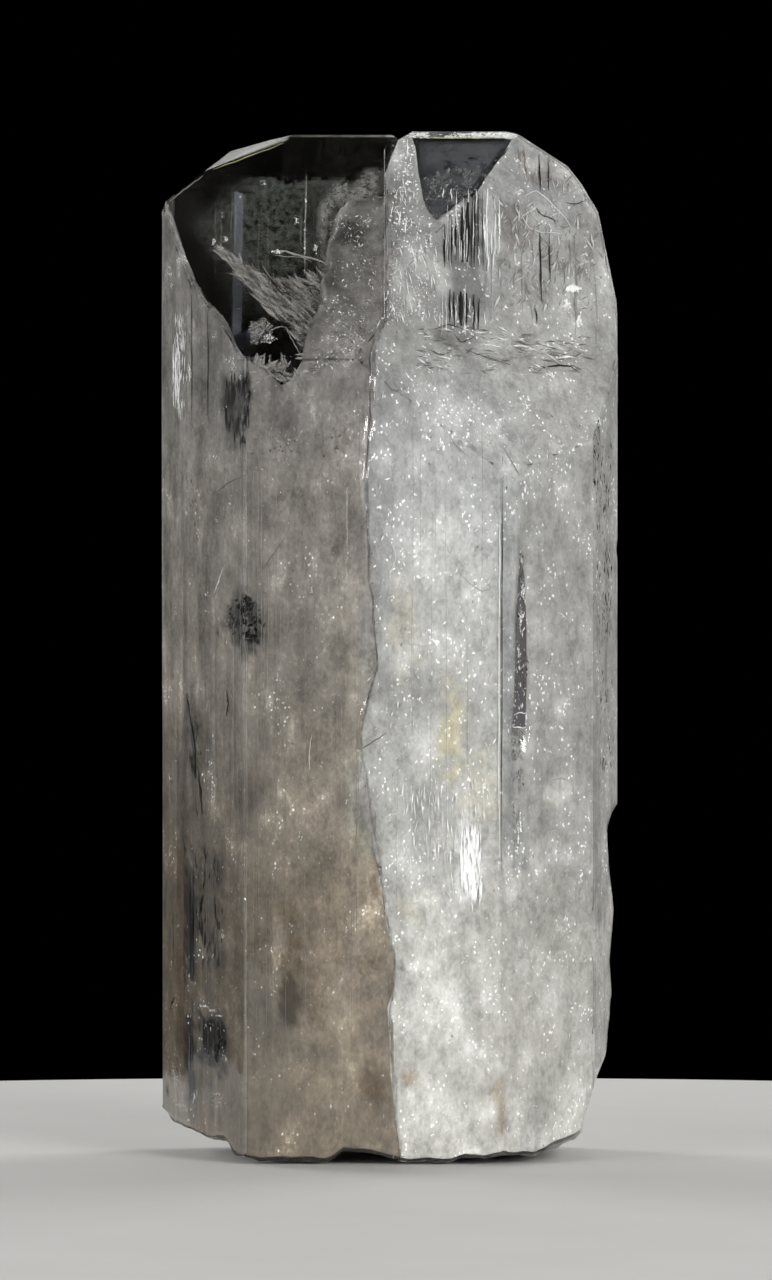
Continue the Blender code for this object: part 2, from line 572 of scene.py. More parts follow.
class Shelter:
    """The crystal's own skin, which nothing sealed in it passes through."""

    def __init__(self, skin: Object) -> None:
        """Keep the skin's faces in a form that is quick to search."""
        faces = [tuple(face.vertices) for face in skin.data.polygons]
        self.tree = BVHTree.FromPolygons(read_points(skin).tolist(), faces)

    def tuck(self, points: np.ndarray, least: float = 0.006, reach: float = 0.7) -> np.ndarray:
        """Move places that are outside the skin, or nearly so, back under it.

        Args:
            points: positions, in millimetres.
            least: how far under the skin every place has to be.
            reach: places farther than this from the skin stay as they are.

        Returns:
            The new positions.
        """
        tucked = points.copy()
        for number, point in enumerate(points.tolist()):
            near, normal, _, _ = self.tree.find_nearest(point, reach)
            if near is not None and (near - Vector(point)).dot(normal) < least:
                tucked[number] = near - normal * least
        return tucked


@dataclass(frozen=True)
class Blank:
    """The grown-together crystals with flat faces, cut into a grid fine enough to sculpt.

    The grid's spacing is across, through and up, and worn_edge is the width of the edges' wear,
    all in millimetres. A worn_edge of 0 leaves the edges sharp. Corners closer than merge are one,
    and faces that turn less than flat_angle, in degrees, are one face.
    """

    name: str
    grid: Point
    worn_edge: float = 0.0
    block: Point = (30.0, 18.0, 62.0)
    grid_reach: tuple[Pair, Pair, Pair] = ((-13.3, 13.3), (-6.85, 6.9), (0.15, 59.9))
    snap: float = 0.0001
    merge: float = 0.005
    flat_angle: float = 0.5

    def make(self) -> Object:
        """Cleave both crystals, join them, wear the edges and cut the grid.

        Returns:
            The blank.
        """
        left = self._cleave(LEFT_CRYSTAL, self.name)
        right = self._cleave(RIGHT_CRYSTAL, "right_block")
        make_active(left)
        join = left.modifiers.new("join", "BOOLEAN")
        join.operation = "UNION"
        join.object = right
        join.solver = "MANIFOLD"
        bpy.ops.object.modifier_apply(modifier=join.name)
        left.data.materials.clear()
        bpy.data.objects.remove(right, do_unlink=True)
        if self.worn_edge > 0.0:
            edit_all(left, bpy.ops.mesh.remove_doubles, threshold=self.merge * MM)
            edit_all(left, bpy.ops.mesh.dissolve_limited, angle_limit=math.radians(self.flat_angle))
            width = self.worn_edge * MM
            edit_all(left, bpy.ops.mesh.bevel, offset=width, segments=2, clamp_overlap=True)
        edit_all(left, self._cut_grid)
        edit_all(left, bpy.ops.mesh.normals_make_consistent, inside=False)
        return left

    def _cleave(self, crystal: GrownCrystal, name: str) -> Object:
        """Start from a block and split everything off outside each face.

        Args:
            crystal: gives the faces.
            name: the new object's name.

        Returns:
            The cleaved block.
        """
        deselect_all()
        middle = (0.0, 0.0, self.block[2] / 2 * MM)
        bpy.ops.mesh.primitive_cube_add(size=MM, location=middle, scale=self.block)
        block = bpy.context.object
        block.name = name
        bpy.ops.object.transform_apply(location=True, rotation=True, scale=True)
        bpy.ops.object.mode_set(mode="EDIT")
        normals, points = crystal.planes()
        for normal, point in zip(normals, points):
            self._bisect(point * MM, normal, use_fill=True, clear_outer=True)
        bpy.ops.object.mode_set(mode="OBJECT")
        return block

    def _cut_grid(self) -> None:
        """Score the surface with level and upright planes."""
        for axis in (0, 2, 1):
            normal = np.eye(3)[axis]
            for place in np.arange(*self.grid_reach[axis], self.grid[axis]):
                self._bisect(normal * place * MM, normal)

    def _bisect(self, point: np.ndarray, normal: np.ndarray, **cut: bool) -> None:
        """Cut the mesh that is being edited through a point, in metres."""
        bpy.ops.mesh.select_all(action="SELECT")
        bpy.ops.mesh.bisect(plane_co=point, plane_no=normal, threshold=self.snap * MM, **cut)


@dataclass(frozen=True)
class BrokenRoot:
    """The rough lower end: its outline from the front, with shell-like breaks behind it.

    Sizes are in millimetres. It rests on a wandering band and rises away from it, with ripples
    round the middle of the largest break.
    """

    outline: Outline = (
        (-13.4, 2.5), (-12.8, 1.95), (-11.6, 1.7), (-10.3, 1.22), (-9.5, 1.1), (-9.0, 0.45), (-7.2, 0.0),
        (-3.6, 0.1), (-2.7, 0.7), (-0.9, 0.62), (0.6, 0.1), (3.6, 0.0), (4.4, 0.3), (5.8, 0.1),
        (6.5, 0.42), (8.3, 0.12), (9.7, 0.5), (10.8, 0.95), (11.7, 2.0), (12.4, 4.0),
    )
    blend_top: float = 6.0
    band: float = 2.2
    band_wander: float = 2.6
    slope: float = 0.085
    shell_width: float = 2.6
    shell_height: float = 0.3
    break_middle: Pair = (-7.0, 3.0)
    ripple: float = 0.05
    ripple_turn: float = 5.2
    grain_width: float = 0.5
    grain: float = 0.05
    seed: int = 41

    def height(self, points: np.ndarray) -> np.ndarray:
        """Work out how high the broken face is.

        Args:
            points: positions, in millimetres.

        Returns:
            The height under each.
        """
        x, y = points[:, 0], points[:, 1]
        flat = rows(x, y, 0.0)
        away = np.abs(y - self.band_wander * smooth_noise(flat / 6.0, self.seed))
        shells = np.abs(layered_noise(flat / self.shell_width, self.seed + 6))
        rise = self.slope * np.maximum(away - self.band, 0.0) + self.shell_height * shells
        rise *= 0.3 + 0.7 * soft_step(6.9, 4.0, np.abs(y))
        rings = np.hypot(x - self.break_middle[0], y - self.break_middle[1])
        wave = rings * self.ripple_turn + 2.0 * smooth_noise(flat / 3.0, self.seed + 12)
        ripple = self.ripple * np.sin(wave) * soft_step(1.5, 4.0, away)
        grain = self.grain * layered_noise(flat / self.grain_width, self.seed + 18, 3)
        low = along_line(self.outline, x)
        return np.maximum(low + rise * soft_step(0.4, 3.0, away) + ripple + grain, 0.0)

    def settle(self, points: np.ndarray, lift: float = 0.0) -> np.ndarray:
        """Draw the lowest part of a blank up to the broken face.

        Args:
            points: the blank's corners, in millimetres.
            lift: how far above the broken face they stay.

        Returns:
            The new positions.
        """
        floor = self.height(points) + lift
        low = points[:, 2] < self.blend_top
        share = points[:, 2] / self.blend_top
        settled = points.copy()
        settled[:, 2] = np.where(low, floor + share * (self.blend_top - floor), points[:, 2])
        return settled


@dataclass(frozen=True)
class Channel:
    """A long lens-shaped growth channel, sunk into the right front corner. Sizes are in millimetres."""

    x: float = 7.75
    fullness: Outline = ((17.0, 0.0), (25.5, 1.0), (32.0, 0.75), (37.4, 0.0))
    half_width: float = 0.5
    lean: float = 0.03
    lean_below: float = 31.0
    depth: float = 0.42
    facing: float = 35.0
    seed: int = 61

    def sink(self, points: np.ndarray, extra: float = 0.0) -> np.ndarray:
        """Press places near the channel in along the way that it faces.

        Args:
            points: positions, in millimetres.
            extra: how much deeper to press than the channel itself.

        Returns:
            The new positions.
        """
        z = points[:, 2]
        fullness = np.sqrt(along_line(self.fullness, z))
        wander = 0.08 * smooth_noise(rows(0.0, z / 2.2, 0.0), self.seed)
        middle = self.x + self.lean * np.minimum(z - self.lean_below, 0.0) + wander
        beside = (points[:, 0] - middle) / (self.half_width * np.maximum(fullness, 0.15))
        front = soft_step(-4.8, -5.4, points[:, 1])
        press = (self.depth + extra) * fullness * np.exp(-(beside**4)) * front
        turn = math.radians(self.facing)
        return points + press[:, None] * np.array((-math.sin(turn), math.cos(turn), 0.0))


ROOT = BrokenRoot()
CHANNEL = Channel()


@dataclass(frozen=True)
class Skin:
    """The crystal's own surface: striated prism faces, clean end facets and a broken root.

    Sizes are in millimetres. Growth lines come in a few widths, each with its share of them all.
    """

    grid: Point = (0.16, 0.3, 0.62)
    worn_edge: float = 0.025
    striae: int = 620
    stria_widths: tuple[float, ...] = (0.09, 0.14, 0.22, 0.4, 0.8)
    stria_shares: tuple[float, ...] = (0.34, 0.3, 0.2, 0.11, 0.05)
    most_relief: float = 0.065
    girth_radius: float = 11.8
    girth_flatness: float = 1.35
    seam_step: float = 0.08
    smooth_angle: float = 24.0
    seed: int = 11

    def build(self) -> Object:
        """Make the blank and give its faces their relief.

        Returns:
            The skin, with no finish yet.
        """
        skin = Blank("crystal_skin", self.grid, self.worn_edge).make()
        points = read_points(skin)
        normals = read_corners(skin, "normal")
        points += normals * self._relief(points, normals)[:, None]
        points = self._seam_step(points)
        points = self._chip_right_edge(points)
        points = ROOT.settle(CHANNEL.sink(points))
        write_points(skin, np.clip(points, *SKIN_LIMITS))
        make_active(skin)
        bpy.ops.object.shade_smooth_by_angle(angle=math.radians(self.smooth_angle))
        return skin

    def _relief(self, points: np.ndarray, normals: np.ndarray) -> np.ndarray:
        """Raise growth lines up the prism faces, each of its own width, height and length.

        Args:
            points: the skin's corners, in millimetres.
            normals: the way that each faces.

        Returns:
            How far out each corner moves, in millimetres.
        """
        chance = np.random.default_rng(self.seed)
        z = points[:, 2]
        round_place = np.arctan2(points[:, 1] * self.girth_flatness, points[:, 0]) * self.girth_radius
        half_girth = math.pi * self.girth_radius
        relief = np.zeros(len(points))
        order = np.argsort(round_place)
        sorted_place = round_place[order]
        for _ in range(self.striae):
            middle = chance.uniform(-half_girth, half_girth)
            width = chance.choice(self.stria_widths, p=self.stria_shares)
            height = chance.normal(0.0, 0.2) * width * 0.55
            top = chance.uniform(6.0, 62.0)
            length = chance.uniform(4.0, 34.0)
            first, last = np.searchsorted(sorted_place, (middle - 3 * width, middle + 3 * width))
            near = order[first:last]
            across = (round_place[near] - middle - 0.004 * (z[near] - top)) / width
            ends = soft_step(0.0, 1.5, top - z[near]) * soft_step(0.0, 1.5, z[near] - top + length)
            relief[near] += height * np.exp(-across * across) * ends
        relief += 0.045 * layered_noise(rows(round_place / 2.6, z / 19.0, 0.0), 71, 2)
        relief = self.most_relief * np.tanh(relief / self.most_relief)
        upright = 1.0 - soft_step(0.25, 0.55, np.abs(normals[:, 2]))
        return relief * upright * self._away_from_end(points) - 0.012

    def _away_from_end(self, points: np.ndarray) -> np.ndarray:
        """Let the growth lines fade just short of the end facets, whose edges stay clean.

        Args:
            points: the skin's corners, in millimetres.

        Returns:
            The share of the lines that each keeps.
        """
        clear = np.full(len(points), np.inf)
        for azimuth, slope, point in (FRONT_DOME, FRONT_PYRAMID):
            clear = np.minimum(clear, (np.array(point) - points) @ facet_normal(azimuth, slope))
        return soft_step(0.05, 0.7, clear)

    def _seam_step(self, points: np.ndarray) -> np.ndarray:
        """Let the right crystal's front stand proud of the left one's, with a fine groove between.

        Args:
            points: the skin's corners, in millimetres.

        Returns:
            The new positions.
        """
        wander = 0.2 * layered_noise(rows(0.0, points[:, 2] / 1.1, 0.0), 83, 3)
        past = points[:, 0] - along_line(SEAM, points[:, 2]) - wander
        front = (points[:, 1] < FRONT_Y + 0.3) & (points[:, 0] > -8.2)
        step = self.seam_step * (0.5 - soft_step(-0.25, 0.25, past)) * np.exp(-((past / 3.0) ** 2))
        stepped = points.copy()
        stepped[:, 1] += np.where(front, step, 0.0)
        return stepped

    def _chip_right_edge(self, points: np.ndarray) -> np.ndarray:
        """Press the lower right edge in to where it is chipped.

        Args:
            points: the skin's corners, in millimetres.

        Returns:
            The new positions.
        """
        limit = along_line(RIGHT_EDGE, points[:, 2]) + 0.06 * layered_noise(points / 0.8, 97, 3)
        chipped = points.copy()
        chipped[:, 0] = np.minimum(points[:, 0], limit)
        return chipped


# ---------------------------------------------------------------------------
# Finishes
# ---------------------------------------------------------------------------


@dataclass(frozen=True)
class ClearDanburite:
    """Natural danburite as grown: clear, glossy, finely lined up its sides, with a faint warm body."""

    gloss: float = 0.02
    etched: float = 0.16
    etched_below: float = 20.0
    body_colour: str = "#EDE9E0"
    density: float = 9.0
    line_spacing: float = 0.11
    line_length: float = 9.9
    line_depth: float = 0.03

    def build(self) -> Material:
        """Make the see-through material, with growth lines finer than the mesh as bump.

        Returns:
            The material.
        """
        material, tree, shader, place = start_material("clear danburite, grown faces")
        across = 1.0 / (self.line_spacing * MM)
        stretch = (across, across, 1.0 / (self.line_length * MM))
        lines_at = add_node(tree, "ShaderNodeMapping", {"Vector": place, "Scale": stretch})
        lines = add_node(tree, "ShaderNodeTexNoise", {"Vector": lines_at, "Scale": 1.0, "Detail": 3.0})
        bump = {"Strength": 0.22, "Distance": self.line_depth * MM, "Height": lines}
        patch = add_node(tree, "ShaderNodeTexNoise", {"Vector": place, "Scale": 260.0, "Detail": 4.0})
        height = add_node(tree, "ShaderNodeSeparateXYZ", {"Vector": place}).outputs["Z"]
        fade = {"Value": height, "From Min": self.etched_below * MM, "From Max": 1.0 * MM}
        low = add_node(tree, "ShaderNodeMapRange", fade, interpolation_type="SMOOTHSTEP")
        dull = add_node(tree, "ShaderNodeMapRange", {"Value": patch, "From Min": 0.45, "From Max": 0.75})
        both = add_node(tree, "ShaderNodeMath", {0: low, 1: dull}, operation="MULTIPLY")
        rough = {"Value": both, "To Min": self.gloss, "To Max": self.etched}
        body = {"Color": hex_to_linear(self.body_colour), "Density": self.density}
        feed(tree.nodes["Material Output"], {"Volume": add_node(tree, "ShaderNodeVolumeAbsorption", body)})
        feed(
            shader,
            {
                "Base Color": (1.0, 1.0, 1.0, 1.0),
                "Transmission Weight": 1.0,
                "IOR": DANBURITE_IOR,
                "Roughness": add_node(tree, "ShaderNodeMapRange", rough),
                "Normal": add_node(tree, "ShaderNodeBump", bump),
            },
        )
        return material


@dataclass(frozen=True)
class MilkFinish:
    """Danburite made milky by countless tiny fluid drops: soft, cloudy, striped up its length.

    The eye sees cloudy blotches, upright stripes with abrupt ends, fine grain, light that has
    soaked a little way in, and here and there a sparkle, painted as a white cell. The mesh's own
    tint carries the stains and a painted glow round the glints. Each cloud is (width, length,
    detail, weight) and each block is (width, length, raggedness, weight), widths and lengths in
    millimetres.
    """

    name: str
    tones: tuple[str, str, str, str]
    clouds: tuple[tuple[float, float, float, float], ...]
    blocks: tuple[tuple[float, float, float, float], ...]
    spread: Pair
    sparkle_size: float
    sparkle_rareness: float
    tone_stops: Pair = (0.38, 0.7)
    glow: float = 0.35
    glow_depth: float = 0.3
    relief: float = 0.1

    def build(self) -> Material:
        """Make the cloudy material.

        Returns:
            The material.
        """
        material, tree, shader, place = start_material(self.name)
        noises = []
        total: Node | float = 0.0
        for width, length, detail, weight in self.clouds:
            spot = self._stretched(tree, place, width, length)
            drift = {"Vector": spot, "Scale": 1.0, "Detail": detail, "Roughness": 0.6}
            noises.append(add_node(tree, "ShaderNodeTexNoise", drift))
            inputs = {0: noises[-1], 1: weight, 2: total}
            total = add_node(tree, "ShaderNodeMath", inputs, operation="MULTIPLY_ADD")
        bump = {"Strength": 0.4, "Distance": self.relief * MM, "Height": total}
        for width, length, ragged, weight in self.blocks:
            inputs = {0: self._cells(tree, place, width, length, ragged), 1: weight, 2: total}
            total = add_node(tree, "ShaderNodeMath", inputs, operation="MULTIPLY_ADD")
        inputs = {"Value": total, "From Min": self.spread[0], "From Max": self.spread[1]}
        ramp = add_node(tree, "ShaderNodeValToRGB", {"Fac": add_node(tree, "ShaderNodeMapRange", inputs)})
        stops = ramp.color_ramp.elements
        stops[0].color = hex_to_linear(self.tones[0])
        stops[1].color = hex_to_linear(self.tones[3])
        for at, code in zip(self.tone_stops, self.tones[1:3]):
            stops.new(at).color = hex_to_linear(code)
        tint = add_node(tree, "ShaderNodeAttribute", {}, attribute_name=TINT).outputs["Color"]
        inputs = {0: 1.0, 6: ramp, 7: tint}
        tinted = add_node(tree, "ShaderNodeMix", inputs, data_type="RGBA", blend_type="MULTIPLY")
        # Painted sparkles: rare cells turn pure white in the base colour
        painted_sparkle = self._painted_sparkles(tree, place, noises[0])
        inputs = {0: painted_sparkle, 6: tinted.outputs[2], 7: (1.0, 1.0, 1.0, 1.0)}
        feed(
            shader,
            {
                "Base Color": add_node(tree, "ShaderNodeMix", inputs, data_type="RGBA").outputs[2],
                "Normal": add_node(tree, "ShaderNodeBump", bump),
                "Roughness": 0.45,
                "Specular IOR Level": 0.4,
                "Subsurface Weight": self.glow,
                "Subsurface Scale": self.glow_depth * MM,
                "Subsurface Radius": (1.0, 0.95, 0.88),
            },
        )
        return material

    def _stretched(self, tree: NodeTree, place: NodeSocket | Node, width: float, length: float) -> Node:
        """Scale places so that one unit is a width across and a length up."""
        inputs = {"Vector": place, "Scale": (width * MM, width * MM, length * MM)}
        return add_node(tree, "ShaderNodeMapping", inputs, vector_type="TEXTURE")

    def _cells(self, tree: NodeTree, place: NodeSocket, width: float, length: float, ragged: float) -> Node:
        """Split space in crisp-edged cells with a random value each.

        Args:
            tree: the material's nodes.
            place: Object coordinates.
            width: how wide a cell is, in millimetres.
            length: how long it is, in millimetres.
            ragged: how far its borders wander, as a share of its width.

        Returns:
            A node whose first output is the value, the same all over a cell.
        """
        warp = add_node(tree, "ShaderNodeTexNoise", {"Vector": place, "Scale": 0.7 / (width * MM)})
        inputs = {0: warp.outputs["Color"], 1: (width * ragged * MM,) * 3, 2: place}
        bent = add_node(tree, "ShaderNodeVectorMath", inputs, operation="MULTIPLY_ADD")
        spot = self._stretched(tree, bent, width, length)
        cell = add_node(tree, "ShaderNodeTexVoronoi", {"Vector": spot, "Scale": 1.0})
        return add_node(tree, "ShaderNodeSeparateColor", {"Color": cell.outputs["Color"]})

    def _painted_sparkles(self, tree: NodeTree, place: NodeSocket, mask: Node) -> Node:
        """Pick rare tiny cells, mostly where the cloud is thick, to paint white as sparkles: painted glints.

        Args:
            tree: the material's nodes.
            place: Object coordinates.
            mask: the cloud.

        Returns:
            A node that gives 1 in a painted sparkle and 0 elsewhere.
        """
        cell = self._cells(tree, place, self.sparkle_size, self.sparkle_size * 1.5, 0.9)
        chance = add_node(tree, "ShaderNodeMath", {0: mask, 1: 0.5, 2: cell}, operation="MULTIPLY_ADD")
        rare = self.sparkle_rareness
        inputs = {"Value": chance, "From Min": rare, "From Max": rare + 0.04}
        return add_node(tree, "ShaderNodeMapRange", inputs)


@dataclass(frozen=True)
class VeilFinish:
    """A healed crack: a sheet of minute drops that scatter light, thick in streaks and bare between.

    Sizes are in millimetres. The mesh's own tint carries how much of each place is covered.
    """

    name: str
    pale: str
    dim: str
    width: float
    length: float
    lean: float
    thick: float
    gaps: float
    finer: float = 0.16
    fade: float = 0.42

    def build(self) -> Material:
        """Make the part-covering material.

        Returns:
            The material.
        """
        material, tree, shader, place = start_material(self.name)
        noises = []
        lean = (0.0, math.radians(self.lean), 0.0)
        for share, detail in ((1.0, 5.0), (self.finer, 3.0)):
            size = (self.width * share * MM, self.width * share * MM, self.length * share * MM)
            inputs = {"Vector": place, "Scale": size, "Rotation": lean}
            spot = add_node(tree, "ShaderNodeMapping", inputs, vector_type="TEXTURE")
            inputs = {"Vector": spot, "Scale": 1.0, "Detail": detail, "Roughness": 0.6}
            noises.append(add_node(tree, "ShaderNodeTexNoise", inputs))
        inputs = {0: noises[1], 1: 0.8, 2: noises[0]}
        both = add_node(tree, "ShaderNodeMath", inputs, operation="MULTIPLY_ADD")
        inputs = {"Value": both, "From Min": self.gaps, "From Max": self.gaps + self.fade}
        thickness = add_node(tree, "ShaderNodeMapRange", inputs, interpolation_type="SMOOTHSTEP")
        share = add_node(tree, "ShaderNodeMath", {0: thickness, 1: self.thick}, operation="MULTIPLY")
        cover = add_node(tree, "ShaderNodeAttribute", {}, attribute_name=TINT).outputs["Fac"]
        alpha = add_node(tree, "ShaderNodeMath", {0: share, 1: cover}, operation="MULTIPLY")
        inputs = {0: thickness, 6: hex_to_linear(self.dim), 7: hex_to_linear(self.pale)}
        colour = add_node(tree, "ShaderNodeMix", inputs, data_type="RGBA").outputs[2]
        feed(shader, {"Base Color": colour, "Alpha": alpha, "Roughness": 0.45})
        return material


@dataclass(frozen=True)
class Mottled:
    """A finish whose colour wanders between two tones, so many patches to the millimetre."""

    name: str
    pale: str
    dim: str
    share: float = 1.0
    roughness: float = 0.4
    metallic: float = 0.0
    solid: float = 1.0
    patches: float = 1.4
    detail: float = 2.0

    def build(self) -> Material:
        """Make the material, or give the one that is already made.

        Returns:
            The material.
        """
        known = bpy.data.materials.get(self.name)
        if known:
            return known
        material, tree, shader, place = start_material(self.name)
        inputs = {"Vector": place, "Scale": self.patches / MM, "Detail": self.detail}
        mottle = add_node(tree, "ShaderNodeTexNoise", inputs)
        inputs = {0: mottle, 6: hex_to_linear(self.dim), 7: hex_to_linear(self.pale)}
        colour = add_node(tree, "ShaderNodeMix", inputs, data_type="RGBA").outputs[2]
        feed(shader, {"Base Color": colour, "Roughness": self.roughness})
        feed(shader, {"Metallic": self.metallic, "Alpha": self.solid})
        return material


# Chalky grain of fluid drops: white from any side
CHALKY = Mottled("chalky drops", "#FFFFFF", "#DDDDDA", 0.5, 0.45)
# The same grain with painted shade: greyed as if by the milk in front of it
GREY_SHADED = Mottled("grey drops, painted shade", "#A19E99", "#75726C", 0.62, 0.5)
# Thinner grain of drops, which lets the milk's own tone through
PALE = Mottled("pale drops", "#D8D8D6", "#BABAB8", 1.1, 0.5)
# Drops in the clear end with painted shade, dimmed for the darkness behind them
DIM_SHADED = Mottled("dim drops, painted shade", "#7C7A76", "#4C4B48", 0.9, 0.5)
# Face of an open crack: flashes when it is turned to a light, otherwise dim
FLASHING = Mottled("flashing crack faces", "#FFFFFF", "#E4E6EA", 0.2, 0.16, 0.75)
# The same with a film of fluid, which colours the flash
WARM_FLASH = Mottled("warm crack faces", "#FFC9A8", "#F2B6D6", 0.03, 0.12, 0.9)
COOL_FLASH = Mottled("cool crack faces", "#A9C4FF", "#B7F0E0", 0.05, 0.12, 0.9)
# Empty crack or tube that sends no light to the eye
EMPTY = Mottled("empty tubes and cracks", "#1B1A18", "#0A0A0A", 0.12, 0.3)
# Iron stain settled in cracks
RUSTY = Mottled("iron-stained grains", "#7A5B38", "#4A3622", 0.2, 0.55)
# Thin shard of a healed crack, half see-through
SHARD = Mottled("thin shards", "#B4B1AB", "#6F6C67", 1.0, 0.35, 0.0, 0.42)
# Painted highlight: the light caught along the lower edge of an end facet, painted yellow-green
PAINTED_EDGE_LIGHT = Mottled("painted edge highlight", "#B9B78A", "#8F8F62", 1.0, 0.4)
# Painted board: matt, with a mottle too faint to catch the eye
PALE_BOARD = Mottled("matt pale board", "#CFCECB", "#D9D8D5", 1.0, 0.75, patches=0.09, detail=4.0)


# ---------------------------------------------------------------------------
# What is sealed in the crystal
# ---------------------------------------------------------------------------


@dataclass(frozen=True)
class Stain:
    """A patch of other colour in the milk, placed as it shows from the front, in millimetres."""

    x: float
    z: float
    half_width: float
    half_height: float
    colour: str
    strength: float
    squareness: float = 2.0
    patchy: float = 0.5
    ragged_size: float = 0.55

    def lay(self, tint: np.ndarray, points: np.ndarray, seed: int) -> np.ndarray:
        """Blend this patch into a tint.

        Args:
            tint: colour of each corner so far.
            points: the corners' positions.
            seed: picks the ragged edge.

        Returns:
            The tint with the patch laid in.
        """
        ragged = layered_noise(points / self.ragged_size, seed, 3)
        power = self.squareness
        beside = np.abs(points[:, 0] - self.x) / self.half_width
        above = np.abs(points[:, 2] - self.z) / self.half_height
        away = (beside**power + above**power) ** (1.0 / power) + 0.45 * ragged
        holes = 1.0 - self.patchy * soft_step(0.1, 0.9, ragged)
        share = soft_step(1.12, 0.72, away) * self.strength * holes
        share = (share * front_share(points))[:, None]
        return tint * (1.0 - share) + np.array(hex_to_linear(self.colour)[:3]) * share


@dataclass(frozen=True)
class Milk:
    """The milky inside of one crystal, kept a little under its faces and ending in a ragged top.

    Sizes are in millimetres. top_front is (x, height) where the milk ends on the front; up_tint is
    (height, colour); low_across is (x, brightness) near the root; by_seam brightens its seam side;
    painted_glint_glow is how far the tint is lifted to white round the glints, as painted light.
    """

    side: Side
    finish: MilkFinish
    inset: float
    top_front: Outline
    up_tint: tuple[tuple[float, str], ...]
    stains: tuple[Stain, ...]
    glints: Knots
    painted_glint_glow: float
    by_seam: float
    seed: int
    low_across: Outline = ((0.0, 1.0), (1.0, 1.0))
    top_fall: float = 0.5
    seam_seed: int = 131
    cloud_wall: tuple[Pair, Pair, Pair] = ((46.0, 48.0), (-0.9, -1.8), (-7.0, -5.5))
    grid: Point = (0.26, 0.45, 0.45)

    def build(self, shelter: Shelter) -> Object:
        """Press a blank down to the milk's own limits, roughen it and stain it.

        Args:
            shelter: the skin that it stays under.

        Returns:
            The milky body.
        """
        milk = Blank(f"{self.side.value}_milk", self.grid).make()
        points = read_points(milk)
        relief = layered_noise(points / np.array((0.9, 0.9, 3.0)), self.seed)
        inset = np.clip(self.inset * (1.0 + 0.25 * relief), 0.15, 1.2)
        points -= read_corners(milk, "normal") * inset[:, None]
        points[:, 0] = np.minimum(points[:, 0], along_line(RIGHT_EDGE, points[:, 2]) - 0.2)
        points = ROOT.settle(CHANNEL.sink(points, 0.1), 0.05)
        self._part_at_seam(points)
        self._end_at_top(points)
        write_points(milk, shelter.tuck(points, 0.1))
        edit_all(milk, bpy.ops.mesh.remove_doubles, threshold=0.02 * MM)
        bpy.ops.object.shade_smooth()
        milk.data.validate()
        self._stain(milk)
        milk.data.materials.append(self.finish.build())
        return milk

    def _part_at_seam(self, points: np.ndarray) -> None:
        """Hold the milk on its own side of the seam; the left one reaches a little behind the right.

        Args:
            points: the milk's corners, in millimetres, which are moved where they stand.
        """
        wander = 0.2 * layered_noise(points / np.array((9.0, 3.0, 2.6)), self.seam_seed)
        seam = along_line(SEAM, points[:, 2]) + wander
        if self.side is Side.LEFT:
            behind = soft_step(0.2, 0.45, points[:, 0] - seam)
            points[:, 0] = np.minimum(points[:, 0], seam + 0.5)
            points[:, 1] *= 1.0 - 0.03 * behind
        else:
            points[:, 0] = np.maximum(points[:, 0], seam)

    def _end_at_top(self, points: np.ndarray) -> None:
        """Press the milk down under its ragged top and crumple the cloud's wall in the clear end.

        Args:
            points: the milk's corners, in millimetres, which are moved where they stand.
        """
        ragged = 0.35 * layered_noise(points * np.array((1.0, 1.0, 0.0)) / 0.9, self.seed + 9)
        edge_z = along_line(self.top_front, points[:, 0])
        top = edge_z - self.top_fall * (points[:, 1] - dome_y(edge_z)) + ragged
        points[:, 2] = np.minimum(points[:, 2], np.maximum(top, 2.0))
        x, _, z = points.T
        rise, right, back = self.cloud_wall
        wall = soft_step(*rise, z) * soft_step(*right, x) * soft_step(*back, x)
        points[:, 0] += 0.3 * wall * layered_noise(points / 0.75, self.seed + 15, 2)

    def _stain(self, milk: Object) -> None:
        """Write each corner's tint: a change of tone up the crystal, then the stains, then painted light
        round the glints.

        Args:
            milk: the milky body.
        """
        points = read_points(milk)
        heights = [height for height, _ in self.up_tint]
        tones = np.array([hex_to_linear(code)[:3] for _, code in self.up_tint])
        wavy = points[:, 2] + 2.0 * layered_noise(points / 5.0, self.seed + 21, 3)
        tint = np.column_stack([np.interp(wavy, heights, tones[:, band]) for band in range(3)])
        mottle = 0.17 * layered_noise(points / np.array((1.7, 1.7, 3.0)), self.seed + 27, 4)
        beside = np.abs(points[:, 0] - along_line(SEAM, points[:, 2])) / 1.6
        merge = self.by_seam * np.exp(-beside) * soft_step(8.0, 24.0, points[:, 2])
        low = soft_step(28.0, 19.0, points[:, 2])
        across = 1.0 + (along_line(self.low_across, points[:, 0]) - 1.0) * low
        tint *= ((1.0 + mottle) * (1.0 + merge) * across)[:, None]
        for number, stain in enumerate(self.stains):
            tint = stain.lay(tint, points, self.seed + 31 + number)
        # Painted light: the tint is lifted towards white round each knot of glints
        glow = self.glints.glow(points, 0.35)[:, None] * self.painted_glint_glow
        write_tint(milk, np.clip(tint * (1.0 - glow) + glow, 0.0, 1.0))


